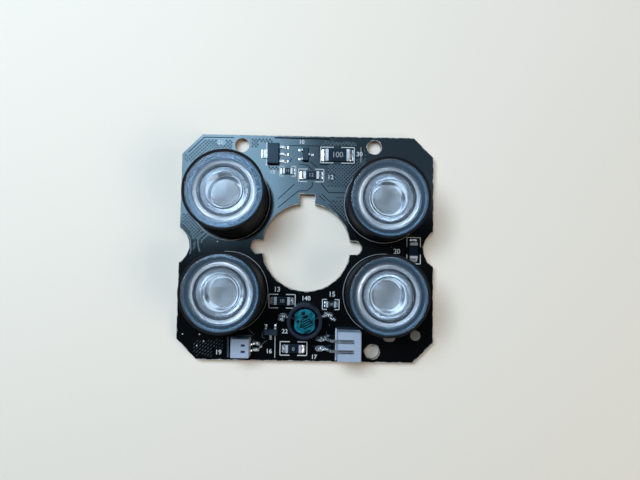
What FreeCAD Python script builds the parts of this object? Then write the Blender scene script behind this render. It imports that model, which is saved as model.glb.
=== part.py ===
import FreeCAD, Part
import math
import os

from FreeCAD import Vector

os.makedirs("parts", exist_ok=True)

# All sizes are millimetres. The origin is the centre of the camera opening on the underside of the
# board, +Z leaves the lenses and +Y points to the edge that carries the regulator.

# Circuit board
BOARD_WIDTH = 53.0
BOARD_HEIGHT = 47.0
BOARD_THICKNESS = 1.6
CORNER_CUT = 4.2
PARTS_STRIP = 14.3
KEYWAY_WIDTH = 3.3
KEYWAY_DEPTH = 2.0
KEYWAY_CORNER = 0.3
EAR_WIDTH = 2.8
EAR_DEPTH = 2.35
EDGE_NOTCH_RADIUS = 4.2
EDGE_NOTCH_DEPTH = 2.05
SCREW_RADIUS = 1.5
SCREW_PITCH = 27.9
SCREW_INSET = 2.15

# Lens units
LENS_PITCH_X = 32.2
HOLDER_GAP = 3.0
CONNECTOR_STRIP = 6.1
HOLDER_LENGTH = 9.6
HOLDER_RIM_WALL = 0.45
HOLDER_WALL = 0.85
HOLDER_FLOOR = 0.9
HOLDER_WINDOW = 4.1
HOLDER_LEDGE = 1.0
HOLDER_RIM_ROUND = 0.15
RIM_ABOVE_LENS = 0.15
LENS_CLEARANCE = 0.07
FLANGE_THICKNESS = 1.2
LENS_LENGTH = 6.3
COLLIMATOR_INSET = 1.9
COLLIMATOR_CLEARANCE = 0.2
COLLIMATOR_BULGE = 0.55
LENS_FOOT_WALL = 0.65
POCKET_RADIUS = 2.6
POCKET_DEPTH = 2.4
POCKET_DRAFT = 0.2
POCKET_CROWN = 0.7
FACE_RECESS = 0.45
FACE_SLOPE_WIDTH = 0.85
CENTRE_LENS_RADIUS = 3.35
CENTRE_LENS_CROWN = 0.4

# One unit has come loose and stands tipped on its edge, towards TIP_TOWARDS degrees from +X.
TIPPED_UNIT = "upper_left"
TIP_ANGLE = 5.4
TIP_TOWARDS = 70.0

# Emitter under each lens
EMITTER_SIDE = 5.4
EMITTER_HEIGHT = 1.5
EMITTER_CORNER = 0.5
CUP_RADIUS = 1.9
CUP_FLOOR_RADIUS = 1.5
CUP_DEPTH = 0.5
DIE_SIDE = 0.75
DIE_THICKNESS = 0.2
DIE_PITCH = 1.1
DOME_RISE = 1.3
TAB_WIDTH = 1.2
TAB_LENGTH = 0.8
TAB_THICKNESS = 0.2

# Regulator, a flat-tab package
REGULATOR_X = -7.25
TOP_ROW_INSET = 4.0
REGULATOR_WIDTH = 2.5
REGULATOR_LENGTH = 4.5
REGULATOR_HEIGHT = 1.5
REGULATOR_LEAD_WIDTH = 0.5
REGULATOR_LEAD_OUT = 1.0
REGULATOR_LEAD_PITCH = 1.5
REGULATOR_TAB_WIDTH = 1.75
REGULATOR_TAB_OUT = 0.85
REGULATOR_TAB_UNDER = 1.5
FRAME_THICKNESS = 0.4
MOULD_DRAFT = 0.15

# Transistors, small gull-wing packages with two leads on one side and one on the other
TRANSISTOR_WIDTH = 1.3
TRANSISTOR_LENGTH = 2.9
TRANSISTOR_HEIGHT = 0.95
TRANSISTOR_STANDOFF = 0.08
TRANSISTOR_SPAN = 2.5
TRANSISTOR_PITCH = 1.9
GULL_WIDTH = 0.42
GULL_THICKNESS = 0.14
GULL_SHOULDER = 0.22
GULL_IN_BODY = 0.25
GULL_BEND = 0.14
DRIVER_X = -0.46
SWITCH_X = -7.0
SWITCH_INSET = 5.85

# Chip resistors: length, width, height, end cap and length of the solder fillet
CHIP_PLATING = 0.06
CHIP_2010 = (5.0, 2.5, 0.55, 0.6, 0.85)
CHIP_1206 = (3.2, 1.6, 0.55, 0.5, 0.8)
CHIP_0805 = (2.0, 1.25, 0.5, 0.4, 0.45)
SENSE_RESISTOR_X = 6.2
BIAS_RESISTOR_X = 0.75
SECOND_ROW_INSET = 8.35
TRIM_RESISTOR_X = -4.2
TRIM_RESISTOR_INSET = 7.55
GATE_RESISTOR_X = -4.8
GATE_RESISTOR_GAP = 2.05
CELL_RESISTOR_X = 5.35
CELL_RESISTOR_GAP = 2.55
FEED_RESISTOR_X = -2.25
FEED_RESISTOR_INSET = 2.5
EDGE_RESISTOR_INSET = 4.15
EDGE_RESISTOR_Y = -0.35

# Light sensor: a flattened disc on two wires inside a sleeve
SENSOR_X = 0.05
SENSOR_GAP = 5.8
SLEEVE_RADIUS = 3.5
SLEEVE_WALL = 0.5
SLEEVE_LENGTH = 5.2
SLEEVE_PORT_CLEARANCE = 0.1
SENSOR_RADIUS = 2.45
SENSOR_FLAT = 2.0
SENSOR_THICKNESS = 2.0
SENSOR_BELOW_RIM = 1.0
SENSOR_WIRE_RADIUS = 0.25
SENSOR_WIRE_PITCH = 2.6
SENSOR_WIRE_BEND = 0.7
SENSOR_PAD_LEFT = (-4.6, 0.65)
SENSOR_PAD_RIGHT = (4.8, 1.05)

# Lead connector, a side-entry header on the right of the lower edge
POWER_X = 6.65
POWER_INSET = 3.65
POWER_LENGTH = 4.7
POWER_WIDTH = 5.9
POWER_HEIGHT = 4.8
POWER_WALL = 0.8
POWER_BACK = 1.0
POWER_PITCH = 2.0
POWER_SLOT_LENGTH = 3.3
POWER_SLOT_WIDTH = 0.8
POWER_LATCH = 1.0
POWER_PIN = 0.5
POWER_PIN_LEVEL = 3.55
POWER_PIN_BEND = 0.6
POWER_PIN_KNEE = 1.15
POWER_PIN_SLOPE = 1.2
POWER_PIN_FOOT = 1.7

# Filter connector, a smaller side-entry header on the left of the lower edge
FILTER_X = -14.75
FILTER_INSET = 2.8
FILTER_LENGTH = 3.7
FILTER_WIDTH = 3.85
FILTER_HEIGHT = 3.2
FILTER_WALL = 0.6
FILTER_BACK = 0.9
FILTER_LIP = 0.35
FILTER_PITCH = 1.25
FILTER_WINDOW_LENGTH = 0.85
FILTER_WINDOW_WIDTH = 0.45
FILTER_WINDOW_BACK = 0.75
FILTER_PIN = 0.35
FILTER_PIN_START = 1.2
FILTER_PIN_LEVEL = 1.25
FILTER_PIN_BEND = 0.35
FILTER_PIN_KNEE = 0.3
FILTER_PIN_SLOPE = 0.25
FILTER_PIN_FOOT = 0.8
HOUSING_CHAMFER = 0.15

# Solder
SOLDER_CLIMB = 0.8
SOLDER_FOOT_ANGLE = 8.0
LEAD_JOINT = 0.8
TAB_JOINT = 0.45
TRANSISTOR_JOINT = 0.3
MOUND_CORNER = 0.4
MOUND_EDGE = 0.55
MOUND_OVERRUN = 0.45
POWER_MOUND = (1.3, 0.55)
FILTER_MOUND = (0.75, 0.4)
SENSOR_MOUND = (1.1, 0.6)
SENSOR_MOUND_LENGTH = 1.75
TEST_PAD_RADIUS = 1.05
TEST_PAD_RISE = 0.06
TEST_PAD_INSET_X = 3.65
TEST_PAD_INSET_Y = 5.6

# The opening leaves a strip above and below for the small parts, and the holders fill what their
# middle gap and the two connector strips leave of the board's height.
CAMERA_RADIUS = BOARD_HEIGHT / 2 - PARTS_STRIP
HOLDER_RADIUS = (BOARD_HEIGHT - HOLDER_GAP - 2 * CONNECTOR_STRIP) / 4
LENS_PITCH_Y = 2 * HOLDER_RADIUS + HOLDER_GAP
COLLIMATOR_RADIUS = HOLDER_RADIUS - COLLIMATOR_INSET
BOARD_TOP = BOARD_THICKNESS
TOP_ROW_Y = BOARD_HEIGHT / 2 - TOP_ROW_INSET
LOWER_EDGE = -BOARD_HEIGHT / 2
SENSOR_Y = -(CAMERA_RADIUS + SENSOR_GAP)
UNITS = {
    "upper_left": (-1, 1),
    "upper_right": (1, 1),
    "lower_left": (-1, -1),
    "lower_right": (1, -1),
}


def block(size, corner):
    """A box with the given size whose lowest corner is at the given point."""
    return Part.makeBox(size[0], size[1], size[2], Vector(*corner))


def centred_block(size, centre, bottom):
    """A box centred on a plan point and standing on the given height."""
    corner = (centre[0] - size[0] / 2, centre[1] - size[1] / 2, bottom)
    return block(size, corner)


def plate(points, thickness):
    """A flat plate from a closed outline of plan points."""
    outline = [Vector(x, y, 0) for x, y in points]
    wire = Part.makePolygon(outline + outline[:1])
    return Part.Face(wire).extrude(Vector(0, 0, thickness))


def cut_corner_plate(width, height, cut, thickness):
    """A rectangular plate centred on the origin, with its four corners cut at 45 degrees."""
    x = width / 2
    y = height / 2
    outline = [
        (-x + cut, -y),
        (x - cut, -y),
        (x, -y + cut),
        (x, y - cut),
        (x - cut, y),
        (-x + cut, y),
        (-x, y - cut),
        (-x, -y + cut),
    ]
    return plate(outline, thickness)


def cylinder(radius, height, centre=(0.0, 0.0), bottom=0.0):
    return Part.makeCylinder(radius, height, Vector(centre[0], centre[1], bottom))


def chain(points):
    """Edges of a section in the XZ plane: a point of two numbers ends a straight edge, and one of
    four numbers ends an arc through its last two."""
    edges = []
    start = Vector(points[0][0], 0, points[0][1])
    for point in points[1:]:
        end = Vector(point[0], 0, point[1])
        if len(point) == 4:
            edge = Part.Arc(start, Vector(point[2], 0, point[3]), end)
        else:
            edge = Part.LineSegment(start, end)
        edges.append(edge.toShape())
        start = end
    return edges


def turned(points):
    """A body of revolution about Z from its half section, which closes on its first point."""
    section = Part.Face(Part.Wire(chain(points + points[:1])))
    return section.revolve(Vector(0, 0, 0), Vector(0, 0, 1), 360)


def crown(radius, edge_level, centre_level):
    """The middle of the arc from the axis to a radius, for a face that is part of a ball."""
    rise = centre_level - edge_level
    ball = (radius**2 + rise**2) / (2 * abs(rise))
    half_angle = math.asin(radius / ball) / 2
    drop = ball * (1 - math.cos(half_angle))
    return ball * math.sin(half_angle), centre_level - math.copysign(drop, rise)


def rounded_path(points, radius):
    """A path of straight runs joined by tangent arcs at its inner points."""
    edges = []
    start = points[0]
    for before, corner, after in zip(points, points[1:], points[2:]):
        arriving = (corner - before).normalize()
        leaving = (after - corner).normalize()
        half_turn = arriving.getAngle(leaving) / 2
        trim = radius * math.tan(half_turn)
        inward = (leaving - arriving).normalize()
        first = corner - arriving * trim
        middle = corner + inward * (radius / math.cos(half_turn) - radius)
        last = corner + leaving * trim
        edges.append(Part.LineSegment(start, first).toShape())
        edges.append(Part.Arc(first, middle, last).toShape())
        start = last
    edges.append(Part.LineSegment(start, points[-1]).toShape())
    return Part.Wire(edges)


def flat_lead(points, radius, width, thickness, y=0.0):
    """A strip or square pin bent in an XZ plane, its width along Y and centred on y."""
    path = rounded_path([Vector(x, y, z) for x, z in points], radius)
    along = (Vector(points[1][0] - points[0][0], 0, points[1][1] - points[0][1])).normalize()
    up = Vector(-along.z, 0, along.x) * (thickness / 2)
    side = Vector(0, width / 2, 0)
    start = Vector(points[0][0], y, points[0][1])
    corners = [start + up + side, start + up - side, start - up - side, start - up + side]
    section = Part.makePolygon(corners + corners[:1])
    return path.makePipe(Part.Face(section))


def round_wire(points, bend, radius):
    """A round wire along straight runs and tangent arcs."""
    path = rounded_path(points, bend)
    along = points[1] - points[0]
    section = Part.Wire(Part.Circle(points[0], along, radius).toShape())
    return path.makePipe(Part.Face(section))


def placed(shape, x, y, turn=0.0):
    """A copy turned about its own Z axis and set down on the board."""
    copy = shape.copy()
    copy.rotate(Vector(0, 0, 0), Vector(0, 0, 1), turn)
    copy.translate(Vector(x, y, BOARD_TOP))
    return copy


def circuit_board():
    board = cut_corner_plate(BOARD_WIDTH, BOARD_HEIGHT, CORNER_CUT, BOARD_THICKNESS)
    cuts = [cylinder(CAMERA_RADIUS, BOARD_THICKNESS)]
    keyway = centred_block(
        (KEYWAY_WIDTH, CAMERA_RADIUS + KEYWAY_DEPTH, BOARD_THICKNESS),
        (0.0, (CAMERA_RADIUS + KEYWAY_DEPTH) / 2),
        0.0,
    )
    corners = [e for e in keyway.Edges if is_vertical(e) and e.CenterOfMass.y > CAMERA_RADIUS]
    cuts.append(keyway.makeFillet(KEYWAY_CORNER, corners))
    ear_reach = CAMERA_RADIUS + EAR_DEPTH - EAR_WIDTH / 2
    cuts.append(centred_block((2 * ear_reach, EAR_WIDTH, BOARD_THICKNESS), (0.0, 0.0), 0.0))
    notch_x = BOARD_WIDTH / 2 - EDGE_NOTCH_DEPTH + EDGE_NOTCH_RADIUS
    for side in (-1, 1):
        cuts.append(cylinder(EAR_WIDTH / 2, BOARD_THICKNESS, (side * ear_reach, 0.0)))
        cuts.append(cylinder(EDGE_NOTCH_RADIUS, BOARD_THICKNESS, (side * notch_x, 0.0)))
    for hole_x, hole_y in screw_places():
        cuts.append(cylinder(SCREW_RADIUS, BOARD_THICKNESS, (hole_x, hole_y)))
    return board.cut(cuts).removeSplitter()


def is_vertical(edge):
    direction = edge.tangentAt(edge.FirstParameter)
    return math.isclose(abs(direction.z), 1.0)


def screw_places():
    """Centres of the three screw holes; the fourth corner is taken by the filter connector."""
    x = SCREW_PITCH / 2
    y = BOARD_HEIGHT / 2 - SCREW_INSET
    return [(-x, y), (x, y), (x, -y)]


def lens_holder():
    """A straight tube with a floor that has a window, and a ledge that carries the lens flange."""
    seat = lens_seat_level()
    bore = COLLIMATOR_RADIUS + COLLIMATOR_CLEARANCE
    inner = HOLDER_RADIUS - HOLDER_WALL
    rim = HOLDER_RADIUS - HOLDER_RIM_WALL
    lip = HOLDER_RIM_ROUND
    slant = lip * (1 - math.sqrt(0.5))
    top = HOLDER_LENGTH
    return turned(
        [
            (HOLDER_WINDOW, 0.0),
            (HOLDER_RADIUS, 0.0),
            (HOLDER_RADIUS, top - lip),
            (HOLDER_RADIUS - lip, top, HOLDER_RADIUS - slant, top - slant),
            (rim, top),
            (rim, seat),
            (bore, seat),
            (bore, seat - HOLDER_LEDGE),
            (inner, seat - HOLDER_LEDGE - (inner - bore)),
            (inner, HOLDER_FLOOR),
            (HOLDER_WINDOW, HOLDER_FLOOR),
        ]
    )


def lens_top_level():
    return HOLDER_LENGTH - RIM_ABOVE_LENS


def lens_seat_level():
    return lens_top_level() - FLANGE_THICKNESS


def lens():
    """A collimator lens: a flange, a curved cone below it, a pocket over the emitter and a face
    that slopes down to a recessed ring round a small centre lens."""
    top = lens_top_level()
    seat = lens_seat_level()
    foot = top - LENS_LENGTH
    flange = HOLDER_RADIUS - HOLDER_RIM_WALL - LENS_CLEARANCE
    foot_radius = POCKET_RADIUS + LENS_FOOT_WALL
    middle_radius = (COLLIMATOR_RADIUS + foot_radius) / 2 + COLLIMATOR_BULGE
    middle_level = (seat + foot) / 2 - COLLIMATOR_BULGE / 2
    face = top - FACE_RECESS
    slope_foot = COLLIMATOR_RADIUS - FACE_SLOPE_WIDTH
    pocket_rim = POCKET_RADIUS - POCKET_DRAFT
    pocket_top = foot + POCKET_DEPTH
    pocket_crown = pocket_top - POCKET_CROWN
    centre = face + CENTRE_LENS_CROWN
    return turned(
        [
            (0.0, pocket_crown),
            (pocket_rim, pocket_top, *crown(pocket_rim, pocket_top, pocket_crown)),
            (POCKET_RADIUS, foot),
            (foot_radius, foot),
            (COLLIMATOR_RADIUS, seat, middle_radius, middle_level),
            (flange, seat),
            (flange, top),
            (COLLIMATOR_RADIUS, top),
            (slope_foot, face),
            (CENTRE_LENS_RADIUS, face),
            (0.0, centre, *crown(CENTRE_LENS_RADIUS, face, centre)),
        ]
    )


def emitter_base():
    """A ceramic square with its corners cut and a cup for the dies."""
    base = cut_corner_plate(EMITTER_SIDE, EMITTER_SIDE, EMITTER_CORNER, EMITTER_HEIGHT)
    cup = Part.makeCone(CUP_FLOOR_RADIUS, CUP_RADIUS, CUP_DEPTH, Vector(0, 0, EMITTER_HEIGHT - CUP_DEPTH))
    return base.cut(cup)


def emitter_dies():
    """Four dies in a square on the floor of the cup."""
    half = DIE_PITCH / 2
    size = (DIE_SIDE, DIE_SIDE, DIE_THICKNESS)
    floor = EMITTER_HEIGHT - CUP_DEPTH
    dies = [centred_block(size, (sx * half, sy * half), floor) for sx in (-1, 1) for sy in (-1, 1)]
    return Part.makeCompound(dies)


def emitter_dome():
    """Clear resin that fills the cup round the dies and rises over it."""
    floor = EMITTER_HEIGHT - CUP_DEPTH
    peak = EMITTER_HEIGHT + DOME_RISE
    resin = turned(
        [
            (0.0, floor),
            (CUP_FLOOR_RADIUS, floor),
            (CUP_RADIUS, EMITTER_HEIGHT),
            (0.0, peak, *crown(CUP_RADIUS, EMITTER_HEIGHT, peak)),
        ]
    )
    return resin.cut(emitter_dies())


def emitter_tabs():
    """The two solder tabs that leave the base at the board."""
    size = (TAB_LENGTH, TAB_WIDTH, TAB_THICKNESS)
    reach = EMITTER_SIDE / 2 + TAB_LENGTH / 2
    return Part.makeCompound([centred_block(size, (side * reach, 0.0), 0.0) for side in (-1, 1)])


def tip(shape, x, y):
    """Tips a standing shape about the point of its base edge that TIP_TOWARDS names."""
    towards = math.radians(TIP_TOWARDS)
    lean = Vector(math.cos(towards), math.sin(towards), 0)
    pivot = Vector(x, y, BOARD_TOP) + lean * HOLDER_RADIUS
    shape.rotate(pivot, Vector(-lean.y, lean.x, 0), TIP_ANGLE)
    return shape


def lens_units():
    parts = {}
    fixed = {
        "emitter_base": emitter_base(),
        "emitter_dies": emitter_dies(),
        "emitter_dome": emitter_dome(),
        "emitter_tabs": emitter_tabs(),
    }
    loose = {"lens_holder": lens_holder(), "lens": lens()}
    for unit, (side_x, side_y) in UNITS.items():
        x = side_x * LENS_PITCH_X / 2
        y = side_y * LENS_PITCH_Y / 2
        for name, shape in fixed.items():
            parts[f"{name}_{unit}"] = placed(shape, x, y)
        for name, shape in loose.items():
            standing = placed(shape, x, y)
            parts[f"{name}_{unit}"] = tip(standing, x, y) if unit == TIPPED_UNIT else standing
    return parts


def moulded_block(width, length, height, bottom=0.0):
    """A package body: its four sides draw in above and below the parting line at mid height."""
    def side(half):
        waist = bottom + height / 2
        top = bottom + height
        inner = half - MOULD_DRAFT
        right = [(inner, bottom), (half, waist), (inner, top)]
        return right + [(-across, level) for across, level in reversed(right)]

    across = [Vector(x, -length / 2, z) for x, z in side(width / 2)]
    along = [Vector(-width / 2, y, z) for y, z in side(length / 2)]
    first = Part.Face(Part.makePolygon(across + across[:1])).extrude(Vector(0, length, 0))
    second = Part.Face(Part.makePolygon(along + along[:1])).extrude(Vector(width, 0, 0))
    return first.common(second)


def regulator():
    """The body, and its three leads; the middle lead runs under the body to the tab."""
    half = REGULATOR_WIDTH / 2
    lead_length = half + REGULATOR_LEAD_OUT
    tab = block(
        (REGULATOR_TAB_OUT + REGULATOR_TAB_UNDER, REGULATOR_TAB_WIDTH, FRAME_THICKNESS),
        (-half - REGULATOR_TAB_OUT, -REGULATOR_TAB_WIDTH / 2, 0.0),
    )
    leads = [
        centred_block((lead_length, REGULATOR_LEAD_WIDTH, FRAME_THICKNESS), (lead_length / 2, y), 0.0)
        for y in (-REGULATOR_LEAD_PITCH, 0.0, REGULATOR_LEAD_PITCH)
    ]
    frame = Part.makeCompound([leads[0], tab.fuse(leads[1]).removeSplitter(), leads[2]])
    body = moulded_block(REGULATOR_WIDTH, REGULATOR_LENGTH, REGULATOR_HEIGHT).cut(frame)
    return {
        "regulator_body": placed(body, REGULATOR_X, TOP_ROW_Y),
        "regulator_leads": placed(frame, REGULATOR_X, TOP_ROW_Y),
    }


def transistor():
    """Body and gull-wing leads: two leads on the -X side and one on the +X side."""
    level = TRANSISTOR_STANDOFF + TRANSISTOR_HEIGHT / 2
    foot = GULL_THICKNESS / 2
    half = TRANSISTOR_WIDTH / 2
    knee = half + GULL_SHOULDER
    inner = half - GULL_IN_BODY
    reach = TRANSISTOR_SPAN / 2
    points = [(inner, level), (knee, level), (knee + GULL_THICKNESS / 2, foot), (reach, foot)]
    right = flat_lead(points, GULL_BEND, GULL_WIDTH, GULL_THICKNESS)
    left = right.mirror(Vector(0, 0, 0), Vector(1, 0, 0))
    leads = [right]
    for y in (-TRANSISTOR_PITCH / 2, TRANSISTOR_PITCH / 2):
        lead = left.copy()
        lead.translate(Vector(0, y, 0))
        leads.append(lead)
    leads = Part.makeCompound(leads)
    body = moulded_block(TRANSISTOR_WIDTH, TRANSISTOR_LENGTH, TRANSISTOR_HEIGHT, TRANSISTOR_STANDOFF)
    return body.cut(leads), leads


def transistor_places():
    return {
        "driver_transistor": (DRIVER_X, TOP_ROW_Y, 0.0),
        "switch_transistor": (SWITCH_X, LOWER_EDGE + SWITCH_INSET, -90.0),
    }


def transistors():
    parts = {}
    body, leads = transistor()
    for name, (x, y, turn) in transistor_places().items():
        parts[f"{name}_body"] = placed(body, x, y, turn)
        parts[f"{name}_leads"] = placed(leads, x, y, turn)
    return parts


def chip(size):
    """Ceramic body and the two plated caps that wrap its ends."""
    length, width, height, cap, _ = size
    whole = centred_block((length, width, height), (0.0, 0.0), 0.0)
    core_size = (length - 2 * CHIP_PLATING, width, height - 2 * CHIP_PLATING)
    shell = whole.cut(centred_block(core_size, (0.0, 0.0), CHIP_PLATING))
    middle = centred_block((length - 2 * cap, width, height), (0.0, 0.0), 0.0)
    caps = shell.cut(middle)
    return whole.cut(caps), caps


def chip_places():
    return {
        "sense_resistor": (CHIP_2010, SENSE_RESISTOR_X, TOP_ROW_Y, 0.0),
        "bias_resistor": (CHIP_1206, BIAS_RESISTOR_X, BOARD_HEIGHT / 2 - SECOND_ROW_INSET, 0.0),
        "trim_resistor": (CHIP_0805, TRIM_RESISTOR_X, BOARD_HEIGHT / 2 - TRIM_RESISTOR_INSET, 0.0),
        "gate_resistor": (CHIP_1206, GATE_RESISTOR_X, -CAMERA_RADIUS - GATE_RESISTOR_GAP, 0.0),
        "cell_resistor": (CHIP_0805, CELL_RESISTOR_X, -CAMERA_RADIUS - CELL_RESISTOR_GAP, 0.0),
        "feed_resistor": (CHIP_1206, FEED_RESISTOR_X, LOWER_EDGE + FEED_RESISTOR_INSET, 0.0),
        "edge_resistor": (CHIP_1206, BOARD_WIDTH / 2 - EDGE_RESISTOR_INSET, EDGE_RESISTOR_Y, 90.0),
    }


def resistors():
    parts = {}
    for name, (size, x, y, turn) in chip_places().items():
        body, caps = chip(size)
        parts[f"{name}_body"] = placed(body, x, y, turn)
        parts[f"{name}_caps"] = placed(caps, x, y, turn)
    return parts


def sensor_pads():
    """Where the two wires are soldered, in plan."""
    return [
        Vector(SENSOR_X + SENSOR_PAD_LEFT[0], SENSOR_Y + SENSOR_PAD_LEFT[1], 0),
        Vector(SENSOR_X + SENSOR_PAD_RIGHT[0], SENSOR_Y + SENSOR_PAD_RIGHT[1], 0),
    ]


def sensor_wires():
    """Each wire goes through the disc, down to the board and out under the sleeve to its pad."""
    top = BOARD_TOP + SLEEVE_LENGTH - SENSOR_BELOW_RIM
    foot = BOARD_TOP + SENSOR_WIRE_RADIUS
    wires = []
    for side, pad in zip((-1, 1), sensor_pads()):
        x = SENSOR_X + side * SENSOR_WIRE_PITCH / 2
        points = [Vector(x, SENSOR_Y, top), Vector(x, SENSOR_Y, foot), Vector(pad.x, pad.y, foot)]
        wires.append(round_wire(points, SENSOR_WIRE_BEND, SENSOR_WIRE_RADIUS))
    return Part.makeCompound(wires)


def sleeve_ports():
    """Slots in the sleeve's foot, each in line with its wire."""
    width = 2 * (SENSOR_WIRE_RADIUS + SLEEVE_PORT_CLEARANCE)
    slots = []
    for side, pad in zip((-1, 1), sensor_pads()):
        x = SENSOR_X + side * SENSOR_WIRE_PITCH / 2
        turn = math.degrees(math.atan2(pad.y - SENSOR_Y, pad.x - x))
        slot = block((2 * SLEEVE_RADIUS, width, width), (0.0, -width / 2, 0.0))
        slots.append(placed(slot, x, SENSOR_Y, turn))
    return slots


def light_sensor():
    outer = cylinder(SLEEVE_RADIUS, SLEEVE_LENGTH, (SENSOR_X, SENSOR_Y), BOARD_TOP)
    inner = cylinder(SLEEVE_RADIUS - SLEEVE_WALL, SLEEVE_LENGTH, (SENSOR_X, SENSOR_Y), BOARD_TOP)
    sleeve = outer.cut(inner).cut(sleeve_ports())
    face = BOARD_TOP + SLEEVE_LENGTH - SENSOR_BELOW_RIM
    underside = face - SENSOR_THICKNESS
    disc = cylinder(SENSOR_RADIUS, SENSOR_THICKNESS, (SENSOR_X, SENSOR_Y), underside)
    flats_size = (2 * SENSOR_FLAT, 2 * SENSOR_RADIUS, SENSOR_THICKNESS)
    flats = centred_block(flats_size, (SENSOR_X, SENSOR_Y), underside)
    wires = sensor_wires()
    return {
        "sensor_sleeve": sleeve,
        "sensor_disc": disc.common(flats).cut(wires),
        "sensor_wires": wires,
    }


def pin_rows(pitch):
    return (-pitch / 2, pitch / 2)


def power_connector():
    """Housing that opens to +X, with a latch notch in each side and slots over its two pins; the pins
    leave at the back, bend down and lie on the board."""
    shell = block((POWER_LENGTH, POWER_WIDTH, POWER_HEIGHT), (0.0, -POWER_WIDTH / 2, 0.0))
    edges = [e for e in shell.Edges if e.CenterOfMass.z > POWER_HEIGHT / 2]
    shell = shell.makeChamfer(HOUSING_CHAMFER, edges)
    mouth = block(
        (POWER_LENGTH - POWER_BACK, POWER_WIDTH - 2 * POWER_WALL, POWER_HEIGHT - 2 * POWER_WALL),
        (POWER_BACK, POWER_WALL - POWER_WIDTH / 2, POWER_WALL),
    )
    latches = centred_block(
        (POWER_LATCH, POWER_WIDTH, POWER_LATCH),
        (POWER_LENGTH - POWER_LATCH / 2, 0.0),
        (POWER_HEIGHT - POWER_LATCH) / 2,
    )
    cuts = [mouth, latches]
    pins = []
    foot = POWER_PIN / 2
    knee = -POWER_PIN_KNEE
    shin = knee - POWER_PIN_SLOPE
    bottom = POWER_PIN_LEVEL - POWER_PIN / 2
    slot_size = (POWER_SLOT_LENGTH, POWER_SLOT_WIDTH, POWER_HEIGHT - bottom)
    for y in pin_rows(POWER_PITCH):
        cuts.append(block(slot_size, (0.0, y - POWER_SLOT_WIDTH / 2, bottom)))
        points = [
            (POWER_SLOT_LENGTH, POWER_PIN_LEVEL),
            (knee, POWER_PIN_LEVEL),
            (shin, foot),
            (shin - POWER_PIN_FOOT, foot),
        ]
        pins.append(flat_lead(points, POWER_PIN_BEND, POWER_PIN, POWER_PIN, y))
    y = LOWER_EDGE + POWER_INSET
    return {
        "power_housing": placed(shell.cut(cuts), POWER_X, y),
        "power_pins": placed(Part.makeCompound(pins), POWER_X, y),
    }


def filter_connector():
    """Housing that opens to -X with a lower lip, two windows over its pins, and pins that leave on
    the +X side and lie on the board."""
    shell = block((FILTER_LENGTH, FILTER_WIDTH, FILTER_HEIGHT), (0.0, -FILTER_WIDTH / 2, 0.0))
    edges = [e for e in shell.Edges if e.CenterOfMass.z > FILTER_HEIGHT / 2]
    shell = shell.makeChamfer(HOUSING_CHAMFER, edges)
    lip = block((FILTER_LIP, FILTER_WIDTH, FILTER_WALL), (-FILTER_LIP, -FILTER_WIDTH / 2, 0.0))
    mouth = block(
        (FILTER_LENGTH - FILTER_BACK, FILTER_WIDTH - 2 * FILTER_WALL, FILTER_HEIGHT - 2 * FILTER_WALL),
        (0.0, FILTER_WALL - FILTER_WIDTH / 2, FILTER_WALL),
    )
    housing = shell.fuse(lip).removeSplitter().cut(mouth)
    pins = []
    foot = FILTER_PIN / 2
    knee = FILTER_LENGTH + FILTER_PIN_KNEE
    shin = knee + FILTER_PIN_SLOPE
    window_x = FILTER_LENGTH - FILTER_WINDOW_BACK - FILTER_WINDOW_LENGTH
    window_size = (FILTER_WINDOW_LENGTH, FILTER_WINDOW_WIDTH, FILTER_WALL)
    cuts = []
    for y in pin_rows(FILTER_PITCH):
        corner = (window_x, y - FILTER_WINDOW_WIDTH / 2, FILTER_HEIGHT - FILTER_WALL)
        cuts.append(block(window_size, corner))
        points = [
            (FILTER_PIN_START, FILTER_PIN_LEVEL),
            (knee, FILTER_PIN_LEVEL),
            (shin, foot),
            (shin + FILTER_PIN_FOOT, foot),
        ]
        pins.append(flat_lead(points, FILTER_PIN_BEND, FILTER_PIN, FILTER_PIN, y))
    pins = Part.makeCompound(pins)
    y = LOWER_EDGE + FILTER_INSET
    return {
        "filter_housing": placed(housing.cut(cuts).cut(pins), FILTER_X, y),
        "filter_pins": placed(pins, FILTER_X, y),
    }


def fillet_solid(run, rise, width):
    """A solder fillet that leans on a face at x = 0 and runs out along +X with a hollow front, which
    meets the board at SOLDER_FOOT_ANGLE."""
    chord = math.hypot(run, rise)
    hollow = chord / 2 * math.tan((math.atan2(rise, run) - math.radians(SOLDER_FOOT_ANGLE)) / 2)
    middle = (run / 2 - hollow * rise / chord, rise / 2 - hollow * run / chord)
    section = Part.Face(Part.Wire(chain([(0.0, 0.0), (run, 0.0), (0.0, rise, *middle), (0.0, 0.0)])))
    solid = section.extrude(Vector(0, width, 0))
    solid.translate(Vector(0, -width / 2, 0))
    return solid


def mound(length, width, rise):
    """A pad of solder with round ends and a sloped top edge, its long axis along X."""
    pad = centred_block((length, width, rise), (0.0, 0.0), 0.0)
    pad = pad.makeFillet(width * MOUND_CORNER, [e for e in pad.Edges if is_vertical(e)])
    return pad.makeChamfer(rise * MOUND_EDGE, [e for e in pad.Edges if e.BoundBox.ZMin > rise / 2])


def solder_joints(parts):
    joints = []
    for size, x, y, turn in chip_places().values():
        length, width, height, _, run = size
        for end in (0.0, 180.0):
            joint = fillet_solid(run, height * SOLDER_CLIMB, width)
            joint.translate(Vector(length / 2, 0, 0))
            joint.rotate(Vector(0, 0, 0), Vector(0, 0, 1), end)
            joints.append(placed(joint, x, y, turn))
    joints += regulator_joints()
    joints += transistor_joints()
    joints += mounds(parts)
    return Part.makeCompound(joints)


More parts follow.
